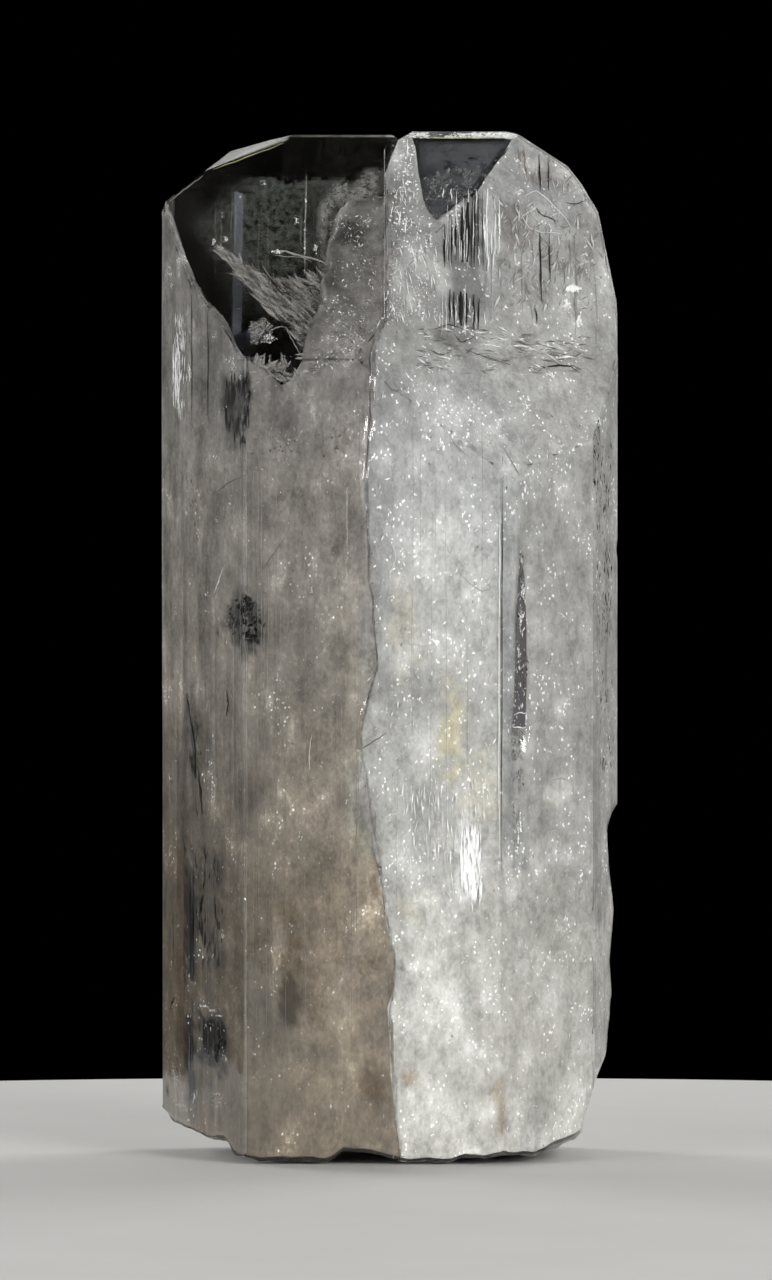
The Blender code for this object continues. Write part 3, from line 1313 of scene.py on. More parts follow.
@dataclass(frozen=True)
class Veil:
    """A crumpled sheet sealed in the crystal, cut to a region that shows from the front.

    Its depth is how far behind the surface it lies. Sizes are in millimetres.
    """

    name: str
    region: Region
    depth: float
    crumple: float
    seed: int
    spacing: float
    finish: VeilFinish

    def build(self, shelter: Shelter) -> Object:
        """Lay a grid over the region, crumple it and trim what is outside.

        Args:
            shelter: the skin that it stays under.

        Returns:
            The veil.
        """
        corners = np.array(self.region.outline)
        low, high = corners.min(axis=0), corners.max(axis=0)
        across = np.arange(low[0], high[0] + self.spacing, self.spacing)
        up = np.arange(low[1], high[1] + self.spacing, self.spacing)
        x, z = (values.ravel() for values in np.meshgrid(across, up))
        cover = self.region.cover(x, z)
        fold = layered_noise(rows(x / 1.4, z / 2.4, 0.0), self.seed, 3)
        places, _ = sealed_places(x, z, np.maximum(self.depth + self.crumple * fold, 0.25))
        number = np.arange(len(x)).reshape(len(up), len(across))
        quads = rows(number[:-1, :-1], number[:-1, 1:], number[1:, 1:], number[1:, :-1]).reshape(-1, 4)
        quads = quads[(cover[quads].max(axis=1) > 0.0) & inside_crystal(places)[quads].all(axis=1)]
        used, faces = np.unique(quads, return_inverse=True)
        veil = mesh_piece(self.name, shelter.tuck(places[used]), faces.reshape(-1, 4))
        write_tint(veil, np.repeat(cover[used][:, None], 3, axis=1))
        make_active(veil)
        bpy.ops.object.shade_smooth()
        veil.data.materials.append(self.finish.build())
        return veil


# The sides of an eight-sided grain; its corners are front, back, right, left, out and in
GRAIN_SIDES = ((0, 2, 4), (2, 1, 4), (1, 3, 4), (3, 0, 4), (2, 0, 5), (1, 2, 5), (3, 1, 5), (0, 3, 5))


@dataclass(frozen=True)
class Grains:
    """Many flat, eight-sided grains joined in one piece. Lengths are in millimetres.

    A grain is slimness times as long as it is wide. Spin, in degrees, is how far the lengths
    scatter from their lean, and tumble how far the flat sides do from facing the surface.
    """

    name: str
    count: int
    length: Pair
    slimness: float
    spin: float
    tumble: float
    finishes: tuple[Mottled, ...]
    seed: int

    def join(
        self,
        centres: np.ndarray,
        facing: np.ndarray,
        grain: np.ndarray,
        chance: np.random.Generator,
        shelter: Shelter,
    ) -> Object:
        """Give the grains their sizes, join them and share out the finishes.

        Args:
            centres: the grains' middles, in millimetres.
            facing: the direction that each grain's flat side faces.
            grain: the direction that its length follows.
            chance: random source for the sizes.
            shelter: the skin that they stay under.

        Returns:
            The joined piece.
        """
        size = len(centres)
        half = np.exp(chance.uniform(*np.log(self.length), size)) / 2
        wide = half / self.slimness * chance.uniform(0.7, 1.3, size)
        thick = wide * 0.3
        flat = unit_rows(facing)
        across = unit_rows(np.cross(grain, flat))
        along = np.cross(flat, across)
        arms = ((along, half), (-along, half), (across, wide), (-across, wide), (flat, thick), (-flat, thick))
        corners = np.stack([centres + way * reach[:, None] for way, reach in arms], axis=1)
        faces = (np.arange(size) * len(arms))[:, None, None] + np.array(GRAIN_SIDES)
        piece = mesh_piece(self.name, shelter.tuck(corners.reshape(-1, 3)), faces.reshape(-1, 3))
        edit_all(piece, bpy.ops.mesh.normals_make_consistent, inside=False)
        for finish in self.finishes:
            piece.data.materials.append(finish.build())
        shares = np.array([finish.share for finish in self.finishes])
        picks = np.random.default_rng(self.seed + 2).choice(len(shares), size, p=shares / shares.sum())
        each = np.repeat(picks, len(GRAIN_SIDES)).astype(np.int32)
        piece.data.polygons.foreach_set("material_index", each)
        return piece


@dataclass(frozen=True)
class GrainBed(Grains):
    """Grains strewn through an area that shows from the front, at these depths, leaning one way."""

    area: Region | Knots
    depth: Pair
    lean: float = 0.0
    clump: float = 0.8

    def build(self, shelter: Shelter) -> Object:
        """Strew, turn and join the grains.

        Args:
            shelter: the skin that they stay under.

        Returns:
            The joined grains.
        """
        x, z = self.area.scatter(self.count, self.clump, self.seed)
        chance = np.random.default_rng(self.seed + 1)
        centres, back = sealed_places(x, z, chance.uniform(*self.depth, len(x)))
        kept = inside_crystal(centres)
        centres, back = centres[kept], back[kept]
        facing = back + chance.normal(0.0, self.tumble, centres.shape)
        turn = np.radians(self.lean + chance.normal(0.0, self.spin, len(centres)))
        grain = rows(np.sin(turn), 0.05, np.cos(turn))
        return self.join(centres, facing, grain, chance, shelter)


@dataclass(frozen=True)
class ScatteredGrains(Grains):
    """Upright grains all round the milk of one side or both, lifted so far off it."""

    lift: Pair
    sides: tuple[Side, ...]

    def build(self, milks: dict[Side, Object], shelter: Shelter) -> Object:
        """Pick places on the milk and lift a grain off each.

        Args:
            milks: the milky bodies that the grains may lie on.
            shelter: the skin that they stay under.

        Returns:
            The joined grains.
        """
        chance = np.random.default_rng(self.seed)
        points = np.concatenate([read_points(milks[side]) for side in self.sides])
        normals = np.concatenate([read_corners(milks[side], "normal") for side in self.sides])
        thick = np.clip(0.5 + layered_noise(points / np.array((2.2, 2.2, 4.0)), self.seed), 0.02, 2.0)
        picks = chance.choice(len(points), self.count, p=thick / thick.sum())
        out = normals[picks]
        centres = points[picks] + chance.normal(0.0, 0.16, (self.count, 3))
        lift = chance.uniform(*self.lift, self.count) - np.sum(out * (centres - points[picks]), axis=1)
        centres += out * lift[:, None]
        kept = inside_crystal(centres)
        centres, out = centres[kept], out[kept]
        facing = out + chance.normal(0.0, self.tumble, centres.shape)
        turn = chance.normal(0.0, math.radians(self.spin), (len(centres), 2))
        return self.join(centres, facing, rows(turn[:, 0], turn[:, 1], 1.0), chance, shelter)


@dataclass(frozen=True)
class Line:
    """A run of one or more fine upright tubes, as they show from the front, in millimetres."""

    x: Pair
    z: Pair
    count: int
    width: Pair
    finishes: tuple[Mottled, ...]
    depth: float = 0.08


@dataclass(frozen=True)
class Crack:
    """A hairline crack or drawn-out flake edge, through (x, height) places seen from the front."""

    path: Outline
    width: float
    finish: Mottled
    depth: float = 0.08


@dataclass(frozen=True)
class Threads:
    """Growth tubes and hairline cracks: thin, tapered, four-sided, some dark and some bright."""

    name: str
    seed: int
    lines: tuple[Line, ...]
    cracks: tuple[Crack, ...]
    stations: int = 13
    sides: int = 4
    most_thick: float = 0.045

    def build(self, shelter: Shelter) -> Object:
        """Draw every thread and join them.

        Args:
            shelter: the skin that they stay under.

        Returns:
            The joined threads.
        """
        chance = np.random.default_rng(self.seed)
        tubes: list[np.ndarray] = []
        kinds: list[Mottled] = []
        for line in self.lines:
            for _ in range(line.count):
                tube = self._tube(line, chance)
                if inside_crystal(tube.mean(axis=1), 0.005).all():
                    tubes.append(tube)
                    kinds.append(line.finishes[chance.integers(len(line.finishes))])
        for crack in self.cracks:
            tubes.append(self._crack(crack, chance))
            kinds.append(crack.finish)
        body = self._tube_faces()
        faces = (np.arange(len(tubes)) * self.stations * self.sides)[:, None, None] + body
        points = shelter.tuck(np.concatenate(tubes).reshape(-1, 3))
        piece = mesh_piece(self.name, points, faces.reshape(-1, 4))
        finishes = list(dict.fromkeys(kinds))
        for finish in finishes:
            piece.data.materials.append(finish.build())
        picks = np.repeat([finishes.index(kind) for kind in kinds], len(body)).astype(np.int32)
        piece.data.polygons.foreach_set("material_index", picks)
        return piece

    def _tube_faces(self) -> np.ndarray:
        """Number the corners of one tube's walls and of its two ends.

        Returns:
            Corner numbers, one row for each face.
        """
        ring = np.arange(self.sides)
        base = np.arange(self.stations - 1)[:, None] * self.sides
        side, after = base + ring, base + (ring + 1) % self.sides
        walls = rows(side, after, after + self.sides, side + self.sides).reshape(-1, 4)
        return np.vstack((walls, ring[[0, 3, 2, 1]], ring + (self.stations - 1) * self.sides))

    def _tube(self, line: Line, chance: np.random.Generator) -> np.ndarray:
        """Place one upright tube's corners, ring by ring.

        Args:
            line: the run that it is part of.
            chance: random source.

        Returns:
            The corners, as _rings gives them.
        """
        at = chance.uniform(*line.x)
        low, high = line.z
        if line.count > 1:
            first, last = np.sort(chance.uniform(low, high, 2))
            low, high = first, min(max(last, first + 0.25 * (high - low)), high)
        x = at + 0.03 * np.cumsum(chance.normal(0.0, 0.5, self.stations))
        z = low + (high - low) * np.linspace(0.0, 1.0, self.stations)
        return self._rings(x, z, chance.uniform(*line.width), line.depth, chance)

    def _crack(self, crack: Crack, chance: np.random.Generator) -> np.ndarray:
        """Place one crack's corners, ring by ring, evenly along its rounded path.

        Args:
            crack: where it runs.
            chance: random source.

        Returns:
            The corners, as _rings gives them.
        """
        path = np.array(crack.path)
        run = np.concatenate(((0.0,), np.cumsum(np.hypot(*np.diff(path, axis=0).T))))
        fine = np.linspace(0.0, run[-1], 60)
        way = np.linspace(0.0, run[-1], self.stations)
        near = np.exp(-(((way[:, None] - fine) / (run[-1] / 11.0)) ** 2))
        near /= near.sum(axis=1)[:, None]
        jitter = 0.02 * chance.normal(0.0, 1.0, (2, self.stations))
        x, z = (near @ np.interp(fine, run, path[:, axis]) + jitter[axis] for axis in (0, 1))
        return self._rings(x, z, crack.width, crack.depth, chance)

    def _rings(
        self, x: np.ndarray, z: np.ndarray, width: float, depth: float, chance: np.random.Generator
    ) -> np.ndarray:
        """Put a flattened, tapered ring of corners round each place.

        Args:
            x: the places across, in millimetres.
            z: their heights.
            width: full width at the middle.
            depth: how far behind the surface they lie.
            chance: random source for the change of width.

        Returns:
            The corners: one row for each ring, then one for each corner in it.
        """
        places, _ = sealed_places(x, z, np.full(self.stations, depth))
        run = unit_rows(rows(np.gradient(x), np.gradient(z)))
        across = rows(run[:, 1], 0.0, -run[:, 0])
        way = np.clip(np.linspace(0.0, 1.0, self.stations), 0.03, 0.97)
        half = width / 2 * (0.25 + 0.75 * np.sin(math.pi * way)) * chance.uniform(0.75, 1.2, self.stations)
        thick = np.minimum(half, self.most_thick)
        corners = []
        for side in range(self.sides):
            angle = math.tau * side / self.sides
            shift = across * (math.cos(angle) * half)[:, None]
            shift[:, 1] += math.sin(angle) * thick
            corners.append(places + shift)
        return np.stack(corners, axis=1)


# ---------------------------------------------------------------------------
# Studio
# ---------------------------------------------------------------------------


def face_back(name: str, data: Any, aim: Vector, azimuth: float, elevation: float, distance: float) -> Object:
    """Put a lamp or a camera round the crystal and turn it to the crystal.

    Args:
        name: the object's name.
        data: the lamp or camera.
        aim: what it is turned to, in metres.
        azimuth: where it stands, in degrees; 0 is the front and 90 the right.
        elevation: how far above level, in degrees.
        distance: how far from the aim, in metres.

    Returns:
        The new object.
    """
    turn = math.radians(azimuth)
    rise = math.radians(elevation)
    away = Vector((math.sin(turn) * math.cos(rise), -math.cos(turn) * math.cos(rise), math.sin(rise)))
    placed = bpy.data.objects.new(name, data)
    placed.location = aim + away * distance
    placed.rotation_euler = away.to_track_quat("Z", "Y").to_euler()
    bpy.context.scene.collection.objects.link(placed)
    return placed


@dataclass(frozen=True)
class Softbox:
    """A soft round studio light: its angles are in degrees, its distance and size in metres."""

    name: str
    azimuth: float
    elevation: float
    distance: float
    size: float
    power: float

    def build(self, aim: Vector) -> Object:
        """Hang the light and turn it to the crystal.

        Args:
            aim: what it is turned to, in metres.

        Returns:
            The hung light.
        """
        lamp = bpy.data.lights.new(self.name, "AREA")
        lamp.shape = "DISK"
        lamp.size = self.size
        lamp.energy = self.power
        return face_back(self.name, lamp, aim, self.azimuth, self.elevation, self.distance)


@dataclass(frozen=True)
class Studio:
    """Pale floor, dark room, softboxes and a long-lens camera. Sizes are in millimetres."""

    floor_radius: float = 115.0
    floor_forward: float = 54.0
    floor_thickness: float = 3.0
    floor_gap: float = 0.02
    floor_rim: float = 0.8
    lens: float = 300.0
    frame_height: float = 74.86
    look_at: Point = (-0.2, 0.0, 30.2)
    camera_rise: float = 2.0
    softboxes: tuple[Softbox, ...] = (
        Softbox("key_softbox", 36.0, 22.0, 0.36, 0.16, 0.66),
        Softbox("fill_softbox", -52.0, 14.0, 0.36, 0.3, 0.71),
        Softbox("left_back_softbox", -128.0, 22.0, 0.3, 0.16, 0.4),
        Softbox("right_back_softbox", 132.0, 24.0, 0.3, 0.16, 0.36),
        Softbox("top_back_softbox", 180.0, 36.0, 0.32, 0.38, 0.22),
        Softbox("left_glint", -14.0, 5.0, 0.45, 0.04, 0.06),
        Softbox("right_glint", 17.0, 6.0, 0.45, 0.04, 0.06),
    )

    def build(self) -> None:
        """Set up the floor, the room, the lights and the camera."""
        self._floor()
        world = bpy.data.worlds.new("dark_room")
        world.use_nodes = True
        feed(world.node_tree.nodes["Background"], {"Color": (0.0, 0.0, 0.0, 1.0)})
        scene = bpy.context.scene
        scene.world = world
        scene.view_settings.view_transform = "Standard"
        aim = Vector([place * MM for place in self.look_at])
        for softbox in self.softboxes:
            softbox.build(aim)
        camera = bpy.data.cameras.new("camera")
        camera.lens = self.lens
        camera.clip_end = 10.0
        distance = self.frame_height * MM * self.lens / camera.sensor_width
        scene.camera = face_back("camera", camera, aim, 0.0, self.camera_rise, distance)

    def _floor(self) -> None:
        """A round pale board with a softened rim, its top where the crystal rests."""
        deselect_all()
        bpy.ops.mesh.primitive_cylinder_add(
            vertices=160,
            radius=self.floor_radius * MM,
            depth=self.floor_thickness * MM,
            location=(0.0, -self.floor_forward * MM, -(self.floor_thickness / 2 + self.floor_gap) * MM),
        )
        floor = bpy.context.object
        floor.name = "floor"
        bpy.ops.object.transform_apply(location=True, rotation=True, scale=True)
        soften = floor.modifiers.new("soften", "BEVEL")
        soften.width = self.floor_rim * MM
        soften.segments = 3
        soften.limit_method = "ANGLE"
        bpy.ops.object.modifier_apply(modifier=soften.name)
        bpy.ops.object.shade_smooth_by_angle(angle=math.radians(30.0))
        floor.data.materials.append(PALE_BOARD.build())


# ---------------------------------------------------------------------------
# Where everything shows from the front, in millimetres
# ---------------------------------------------------------------------------


RIGHT_GLINTS = Knots(
    (
        # end and shoulder
        (1.7, 52.6, 0.5, 0.5, 90), (2.5, 52.0, 0.5, 0.4, 50), (1.2, 50.0, 0.15, 0.15, 24),
        (0.6, 51.4, 0.1, 0.8, 50), (0.4, 58.4, 0.15, 0.7, 40), (3.1, 50.7, 0.15, 0.15, 20),
        (6.0, 47.35, 0.5, 0.12, 80), (9.0, 47.35, 0.5, 0.14, 80), (6.4, 45.5, 0.3, 0.15, 40),
        (10.8, 50.75, 0.42, 0.2, 190), (10.3, 49.7, 0.2, 0.4, 50), (11.1, 50.0, 0.15, 0.4, 50),
        (11.1, 48.6, 0.25, 0.4, 60), (9.4, 49.1, 0.4, 0.2, 24), (10.2, 57.7, 0.4, 0.2, 40),
        (8.4, 57.9, 0.35, 0.1, 24), (10.2, 53.6, 0.3, 0.15, 40), (12.6, 51.5, 0.15, 1.0, 50),
        (9.5, 45.0, 0.8, 0.2, 40),
        # upper body
        (3.5, 43.4, 0.4, 0.4, 70), (5.7, 42.0, 0.3, 0.5, 50), (1.7, 40.8, 0.3, 0.4, 40),
        (0.1, 40.7, 0.25, 0.5, 50), (6.8, 40.2, 0.2, 0.5, 30), (10.0, 39.2, 0.15, 0.2, 24),
        (3.0, 36.7, 0.35, 0.5, 80), (1.9, 35.5, 0.25, 0.3, 40), (0.7, 33.7, 0.3, 0.25, 50),
        (7.4, 32.9, 0.25, 0.6, 50), (7.05, 34.3, 0.15, 0.25, 24), (5.6, 32.0, 0.1, 0.2, 16),
        (8.5, 31.1, 0.3, 0.3, 50), (1.8, 30.2, 0.3, 0.2, 50), (0.75, 29.4, 0.3, 0.4, 40),
        (5.5, 28.5, 0.15, 0.1, 14), (-0.8, 26.3, 0.1, 0.1, 10), (9.7, 26.4, 0.1, 0.1, 10),
        (1.4, 24.5, 0.6, 0.3, 60), (13.0, 22.5, 0.15, 0.3, 60),
        # lower body
        (0.9, 17.5, 0.3, 1.0, 140), (10.0, 17.9, 0.45, 0.25, 60), (7.3, 15.6, 0.35, 0.5, 110),
        (2.0, 15.2, 0.4, 0.3, 50), (12.1, 13.0, 0.15, 0.4, 40), (7.6, 12.0, 0.2, 0.7, 60),
        (9.5, 9.8, 0.6, 0.6, 50), (5.7, 9.7, 0.15, 0.5, 40), (4.2, 9.4, 0.3, 0.3, 40),
        (8.8, 8.8, 0.3, 0.2, 30), (0.9, 7.9, 0.25, 0.2, 50), (11.7, 6.5, 0.22, 0.6, 90),
        (4.3, 6.4, 0.4, 0.5, 50), (7.9, 6.1, 0.1, 0.1, 20), (1.2, 4.0, 0.3, 0.3, 30),
        (11.0, 3.9, 0.15, 0.3, 30), (2.0, 3.0, 0.5, 0.4, 50), (3.9, 2.5, 0.3, 0.4, 40),
        (5.8, 3.0, 0.15, 0.3, 25), (8.1, 1.5, 0.3, 0.3, 30), (4.6, 1.0, 0.3, 0.3, 40),
    ),
)
LEFT_GLINTS = Knots(
    (
        # left edge below the clear end
        (-12.35, 52.4, 0.15, 0.4, 70), (-12.75, 51.0, 0.12, 0.5, 60), (-12.3, 46.0, 0.22, 0.7, 80),
        (-11.6, 46.0, 0.06, 0.6, 40), (-13.05, 45.0, 0.05, 0.6, 20), (-8.6, 45.65, 0.15, 0.15, 50),
        (-9.1, 46.4, 0.3, 0.6, 70), (-10.1, 48.0, 0.2, 0.2, 20), (-0.7, 46.0, 0.1, 0.6, 50),
        (-1.3, 54.7, 0.35, 0.15, 36), (-3.0, 50.35, 0.15, 0.05, 12), (-3.05, 47.8, 0.08, 0.12, 14),
        # body
        (-6.0, 41.0, 0.1, 0.1, 8), (-3.1, 41.4, 0.2, 0.1, 10), (-9.3, 38.3, 0.1, 0.1, 8),
        (-10.0, 37.3, 0.1, 0.1, 8), (-4.5, 33.3, 0.1, 0.2, 10), (-10.6, 33.0, 0.15, 0.15, 24),
        (-10.0, 33.3, 0.1, 0.4, 24), (-12.5, 31.9, 0.1, 0.3, 14), (-10.6, 32.0, 0.3, 0.1, 14),
        (-3.9, 30.4, 0.05, 0.1, 8), (-5.2, 19.0, 0.3, 0.5, 16), (-2.4, 21.0, 0.3, 0.5, 16),
        (-2.3, 14.7, 0.05, 0.05, 10), (-2.5, 13.6, 0.15, 0.4, 16), (-3.75, 13.6, 0.05, 0.2, 10),
        (-7.4, 14.3, 0.05, 0.05, 6), (-8.4, 15.4, 0.08, 0.1, 12), (-9.7, 13.2, 0.2, 0.5, 30),
        (-10.3, 12.0, 0.2, 0.3, 14), (-2.8, 10.8, 0.2, 0.5, 20), (-8.2, 8.0, 0.05, 0.05, 8),
        (-7.8, 6.45, 0.12, 0.06, 12), (-5.4, 5.95, 0.15, 0.05, 10), (-9.5, 6.1, 0.1, 0.3, 20),
        (-0.4, 5.2, 0.08, 0.08, 12), (-3.4, 3.4, 0.05, 0.2, 12), (-2.4, 3.4, 0.05, 0.2, 12),
        (-12.6, 4.8, 0.35, 0.8, 110), (-11.4, 3.6, 0.15, 0.5, 60), (-12.2, 2.9, 0.5, 0.4, 80),
        (-10.0, 3.6, 0.8, 0.6, 50), (-10.75, 9.0, 0.2, 0.08, 40), (-10.35, 8.78, 0.25, 0.1, 60),
        (-9.9, 8.5, 0.22, 0.1, 40), (-9.7, 6.5, 0.1, 0.5, 30),
    ),
)
DOME_GLINTS = Knots(
    (
        (-7.0, 47.9, 0.4, 0.35, 110), (-5.45, 54.75, 0.14, 0.28, 40), (-4.3, 53.1, 0.15, 0.35, 44),
        (-8.75, 56.1, 0.05, 0.05, 8), (-4.92, 55.9, 0.05, 0.1, 12), (-4.95, 53.6, 0.03, 1.6, 36),
        (-7.4, 57.0, 0.2, 0.2, 16), (-10.3, 53.45, 0.14, 0.2, 50), (-9.55, 53.65, 0.12, 0.25, 50),
        (-9.9, 53.05, 0.2, 0.1, 40), (-9.75, 55.1, 0.12, 0.2, 10), (-6.5, 52.9, 0.3, 0.12, 90),
    ),
)

LEFT_MILK = Milk(
    side=Side.LEFT,
    finish=MilkFinish(
        "grey milky danburite", ("#575552", "#827F7B", "#A09D99", "#D6D3CF"),
        ((2.4, 3.6, 6.0, 0.75), (0.7, 1.2, 5.0, 0.3), (0.4, 12.0, 3.0, 0.07), (0.15, 0.24, 2.0, 0.24)),
        ((0.9, 9.0, 0.12, 0.05), (0.35, 6.0, 0.15, 0.03), (0.5, 0.8, 0.9, 0.06), (0.2, 0.3, 0.9, 0.08)),
        (0.55, 1.03), 0.08, 1.27,
    ),
    inset=0.24,
    top_front=(
        (-13.1, 55.8), (-12.3, 53.8), (-11.8, 52.2), (-10.6, 50.2), (-9.5, 48.9), (-8.6, 47.0),
        (-7.9, 46.4), (-6.2, 45.9), (-5.3, 46.3), (-4.4, 49.0), (-3.8, 50.2), (-3.5, 53.5), (-3.1, 55.3),
        (-2.2, 56.0), (0.6, 56.2),
    ),
    up_tint=(
        (0.0, "#C8BCA6"), (14.0, "#D2C7B4"), (30.0, "#DEDAD2"), (40.0, "#DBD9D5"), (47.0, "#C8C7C6"),
        (57.0, "#C0C0BF"),
    ),
    low_across=(
        (-13.4, 0.62), (-11.5, 0.6), (-9.4, 0.76), (-7.0, 0.84), (-5.5, 1.05), (-4.0, 1.35), (0.0, 1.3),
    ),
    stains=(
        Stain(-12.35, 12.0, 0.75, 8.2, "#8A7560", 0.75, 6.0, 0.2),
        Stain(-8.75, 44.6, 0.85, 1.2, "#2B3026", 0.75),
        Stain(-9.0, 42.4, 0.5, 1.3, "#4B4C46", 0.5),
        Stain(-10.3, 14.2, 1.2, 4.2, "#77726B", 0.6),
        Stain(-10.2, 7.0, 0.8, 1.6, "#1C1D17", 1.0, 9.0, 0.1),
        Stain(-11.5, 13.7, 0.3, 3.5, "#15120E", 0.9, 8.0, 0.0),
        Stain(-11.5, 5.9, 0.3, 2.5, "#15120E", 0.9, 8.0, 0.0),
        # Painted highlight: white where the left edge catches light
        Stain(-12.0, 44.0, 1.4, 5.5, "#F6F5F2", 0.6),
        Stain(-11.2, 24.5, 0.7, 3.2, "#7C766E", 0.5),
        Stain(-8.4, 31.5, 1.1, 1.7, "#3A3A36", 0.8),
        Stain(-5.7, 10.6, 1.0, 2.6, "#95845F", 0.5),
        Stain(-5.75, 9.5, 0.6, 1.25, "#5A4710", 1.0, 2.0, 0.1),
        Stain(-5.8, 14.6, 0.8, 0.8, "#9C8D68", 0.5),
        Stain(-0.7, 4.9, 1.1, 1.2, "#9C7A3C", 0.6),
        Stain(-1.6, 26.0, 0.4, 2.0, "#A08F74", 0.5),
        Stain(-0.7, 17.5, 0.4, 1.6, "#A08C70", 0.5),
        Stain(-2.2, 53.8, 1.0, 0.8, "#4C4B47", 0.75),
        Stain(-3.3, 52.0, 0.5, 2.6, "#6A6964", 0.6),
        Stain(-1.2, 52.2, 0.7, 0.9, "#7E7D79", 0.5),
        Stain(-3.0, 49.6, 1.3, 0.8, "#83817D", 0.45),
        Stain(-1.8, 56.3, 2.0, 0.8, "#3C3D39", 0.8),
        Stain(-4.4, 45.9, 0.5, 0.25, "#5A4A36", 0.7),
    ),
    glints=LEFT_GLINTS,
    painted_glint_glow=0.12,
    by_seam=0.5,
    seed=101,
)

RIGHT_MILK = Milk(
    side=Side.RIGHT,
    finish=MilkFinish(
        "white milky danburite", ("#A4A4A1", "#CECECB", "#E9E9E6", "#FFFFFF"),
        ((1.7, 2.6, 6.0, 0.6), (0.6, 1.0, 6.0, 0.36), (0.35, 9.0, 3.0, 0.12), (0.15, 0.24, 2.0, 0.3)),
        ((0.6, 5.0, 0.3, 0.05), (0.45, 0.7, 0.9, 0.1), (0.2, 0.3, 0.9, 0.11)),
        (0.56, 1.09), 0.1, 1.22,
    ),
    inset=0.22,
    top_front=(
        (-2.0, 56.8), (-0.2, 57.4), (0.3, 58.6), (0.8, 59.7), (1.3, 59.6), (1.6, 58.6), (1.75, 57.0),
        (2.0, 55.6), (2.6, 54.6), (3.4, 54.9), (4.6, 55.9), (5.5, 56.8), (6.5, 58.3), (7.5, 59.7),
        (13.3, 60.0),
    ),
    up_tint=(
        (0.0, "#DEDCD8"), (16.0, "#DADAD7"), (30.0, "#D2D2D1"), (40.0, "#CFD0D1"), (47.0, "#BEBEBD"),
        (60.0, "#B4B5B6"),
    ),
    stains=(
        Stain(10.4, 31.5, 3.6, 19.0, "#BFBEBC", 0.75, 6.0, 0.15),
        Stain(6.86, 31.0, 0.34, 11.0, "#B0B4B5", 0.65, 6.0, 0.3),
        Stain(3.6, 25.2, 0.75, 3.1, "#E6DBB2", 0.55, 2.0, 0.8),
        Stain(5.3, 22.2, 1.2, 2.0, "#E6DFC8", 0.4, 2.0, 0.8),
        Stain(0.8, 31.0, 0.9, 3.0, "#E2DCCB", 0.45),
        Stain(1.4, 15.0, 1.2, 0.9, "#D9CFB2", 0.45),
        Stain(2.4, 11.0, 1.6, 4.5, "#FAFAF8", 0.6),
        Stain(4.6, 17.6, 0.9, 2.6, "#FFFFFF", 0.8),
        Stain(3.2, 35.0, 2.0, 3.4, "#F4F4F4", 0.5),
        Stain(6.3, 3.5, 0.35, 1.8, "#B09A78", 0.6),
        Stain(1.1, 5.1, 0.4, 0.6, "#B79E7A", 0.6),
        Stain(9.9, 21.5, 0.95, 0.85, "#F6F6F2", 0.7, 2.0, 0.1),
        Stain(8.6, 11.0, 3.8, 7.5, "#D6D3CE", 0.6),
        Stain(7.4, 18.4, 0.5, 1.4, "#A2A3A2", 0.6),
        # end and shoulder
        Stain(4.35, 52.2, 0.95, 3.8, "#626262", 0.6, 6.0, 0.3),
        Stain(5.9, 54.0, 0.5, 2.4, "#E2E4E5", 0.7),
        Stain(7.4, 54.3, 1.0, 1.6, "#9F9794", 0.6),
        Stain(10.0, 57.5, 2.4, 0.8, "#9A9491", 0.6),
        Stain(11.4, 53.6, 0.9, 1.8, "#9A9594", 0.55),
        Stain(3.9, 47.9, 1.7, 0.7, "#7E7D7A", 0.6),
        Stain(9.3, 48.8, 0.6, 0.4, "#6A6966", 0.6),
        Stain(9.2, 55.2, 1.3, 1.0, "#C9C9C8", 0.6),
        Stain(1.0, 44.4, 0.3, 0.7, "#9A9A98", 0.5),
    ),
    glints=RIGHT_GLINTS,
    painted_glint_glow=0.5,
    by_seam=-0.36,
    seed=151,
)

CLOUD_FRINGE = Region(
    (
        (-4.4, 55.6), (-3.4, 57.2), (-2.2, 57.0), (-1.5, 58.0), (-0.2, 58.0), (-0.3, 55.4), (-2.4, 54.8),
        (-2.9, 50.5), (-3.6, 48.5), (-4.9, 48.5), (-4.4, 51.0),
    ),
    0.6,
)
CLOUD = Region(
    ((-3.4, 55.2), (-0.6, 55.8), (-0.3, 50.5), (-1.3, 46.2), (-4.6, 45.6), (-4.4, 48.6), (-3.6, 50.6)),
    0.7,
)
PLUME = Region(
    (
        (-10.4, 53.1), (-9.9, 53.4), (-8.9, 52.7), (-7.9, 52.1), (-6.9, 51.4), (-6.0, 51.2), (-4.8, 51.5),
        (-3.4, 51.8), (-3.3, 49.0), (-4.6, 47.2), (-5.2, 47.0), (-5.9, 48.6), (-7.0, 49.3), (-7.7, 50.0),
        (-8.6, 51.1), (-9.6, 52.3),
    ),
    0.3,
)
PLUME_TUFT = Region(((-8.1, 48.9), (-7.2, 49.2), (-6.6, 48.5), (-6.9, 47.6), (-8.2, 47.4)), 0.4)
WEDGE_FOOT = Region(
    ((-8.2, 47.2), (-6.8, 46.6), (-5.4, 46.7), (-4.6, 47.6), (-3.6, 47.2), (-4.2, 45.2), (-8.0, 45.4)),
    0.4,
)
LENS = Region(
    ((-10.7, 57.75), (-8.6, 58.9), (-6.9, 59.65), (-5.8, 59.75), (-6.0, 59.45), (-8.4, 58.55)),
    0.12,
)
BLUE_BAND = Region(((-9.2, 58.2), (-8.55, 58.3), (-8.55, 46.9), (-9.2, 47.6)), 0.1)
DOME = Region(
    ((-12.4, 54.8), (-8.0, 58.4), (-0.6, 58.8), (-0.6, 56.0), (-4.0, 51.0), (-6.0, 47.5), (-9.5, 49.5)),
    1.6,
)
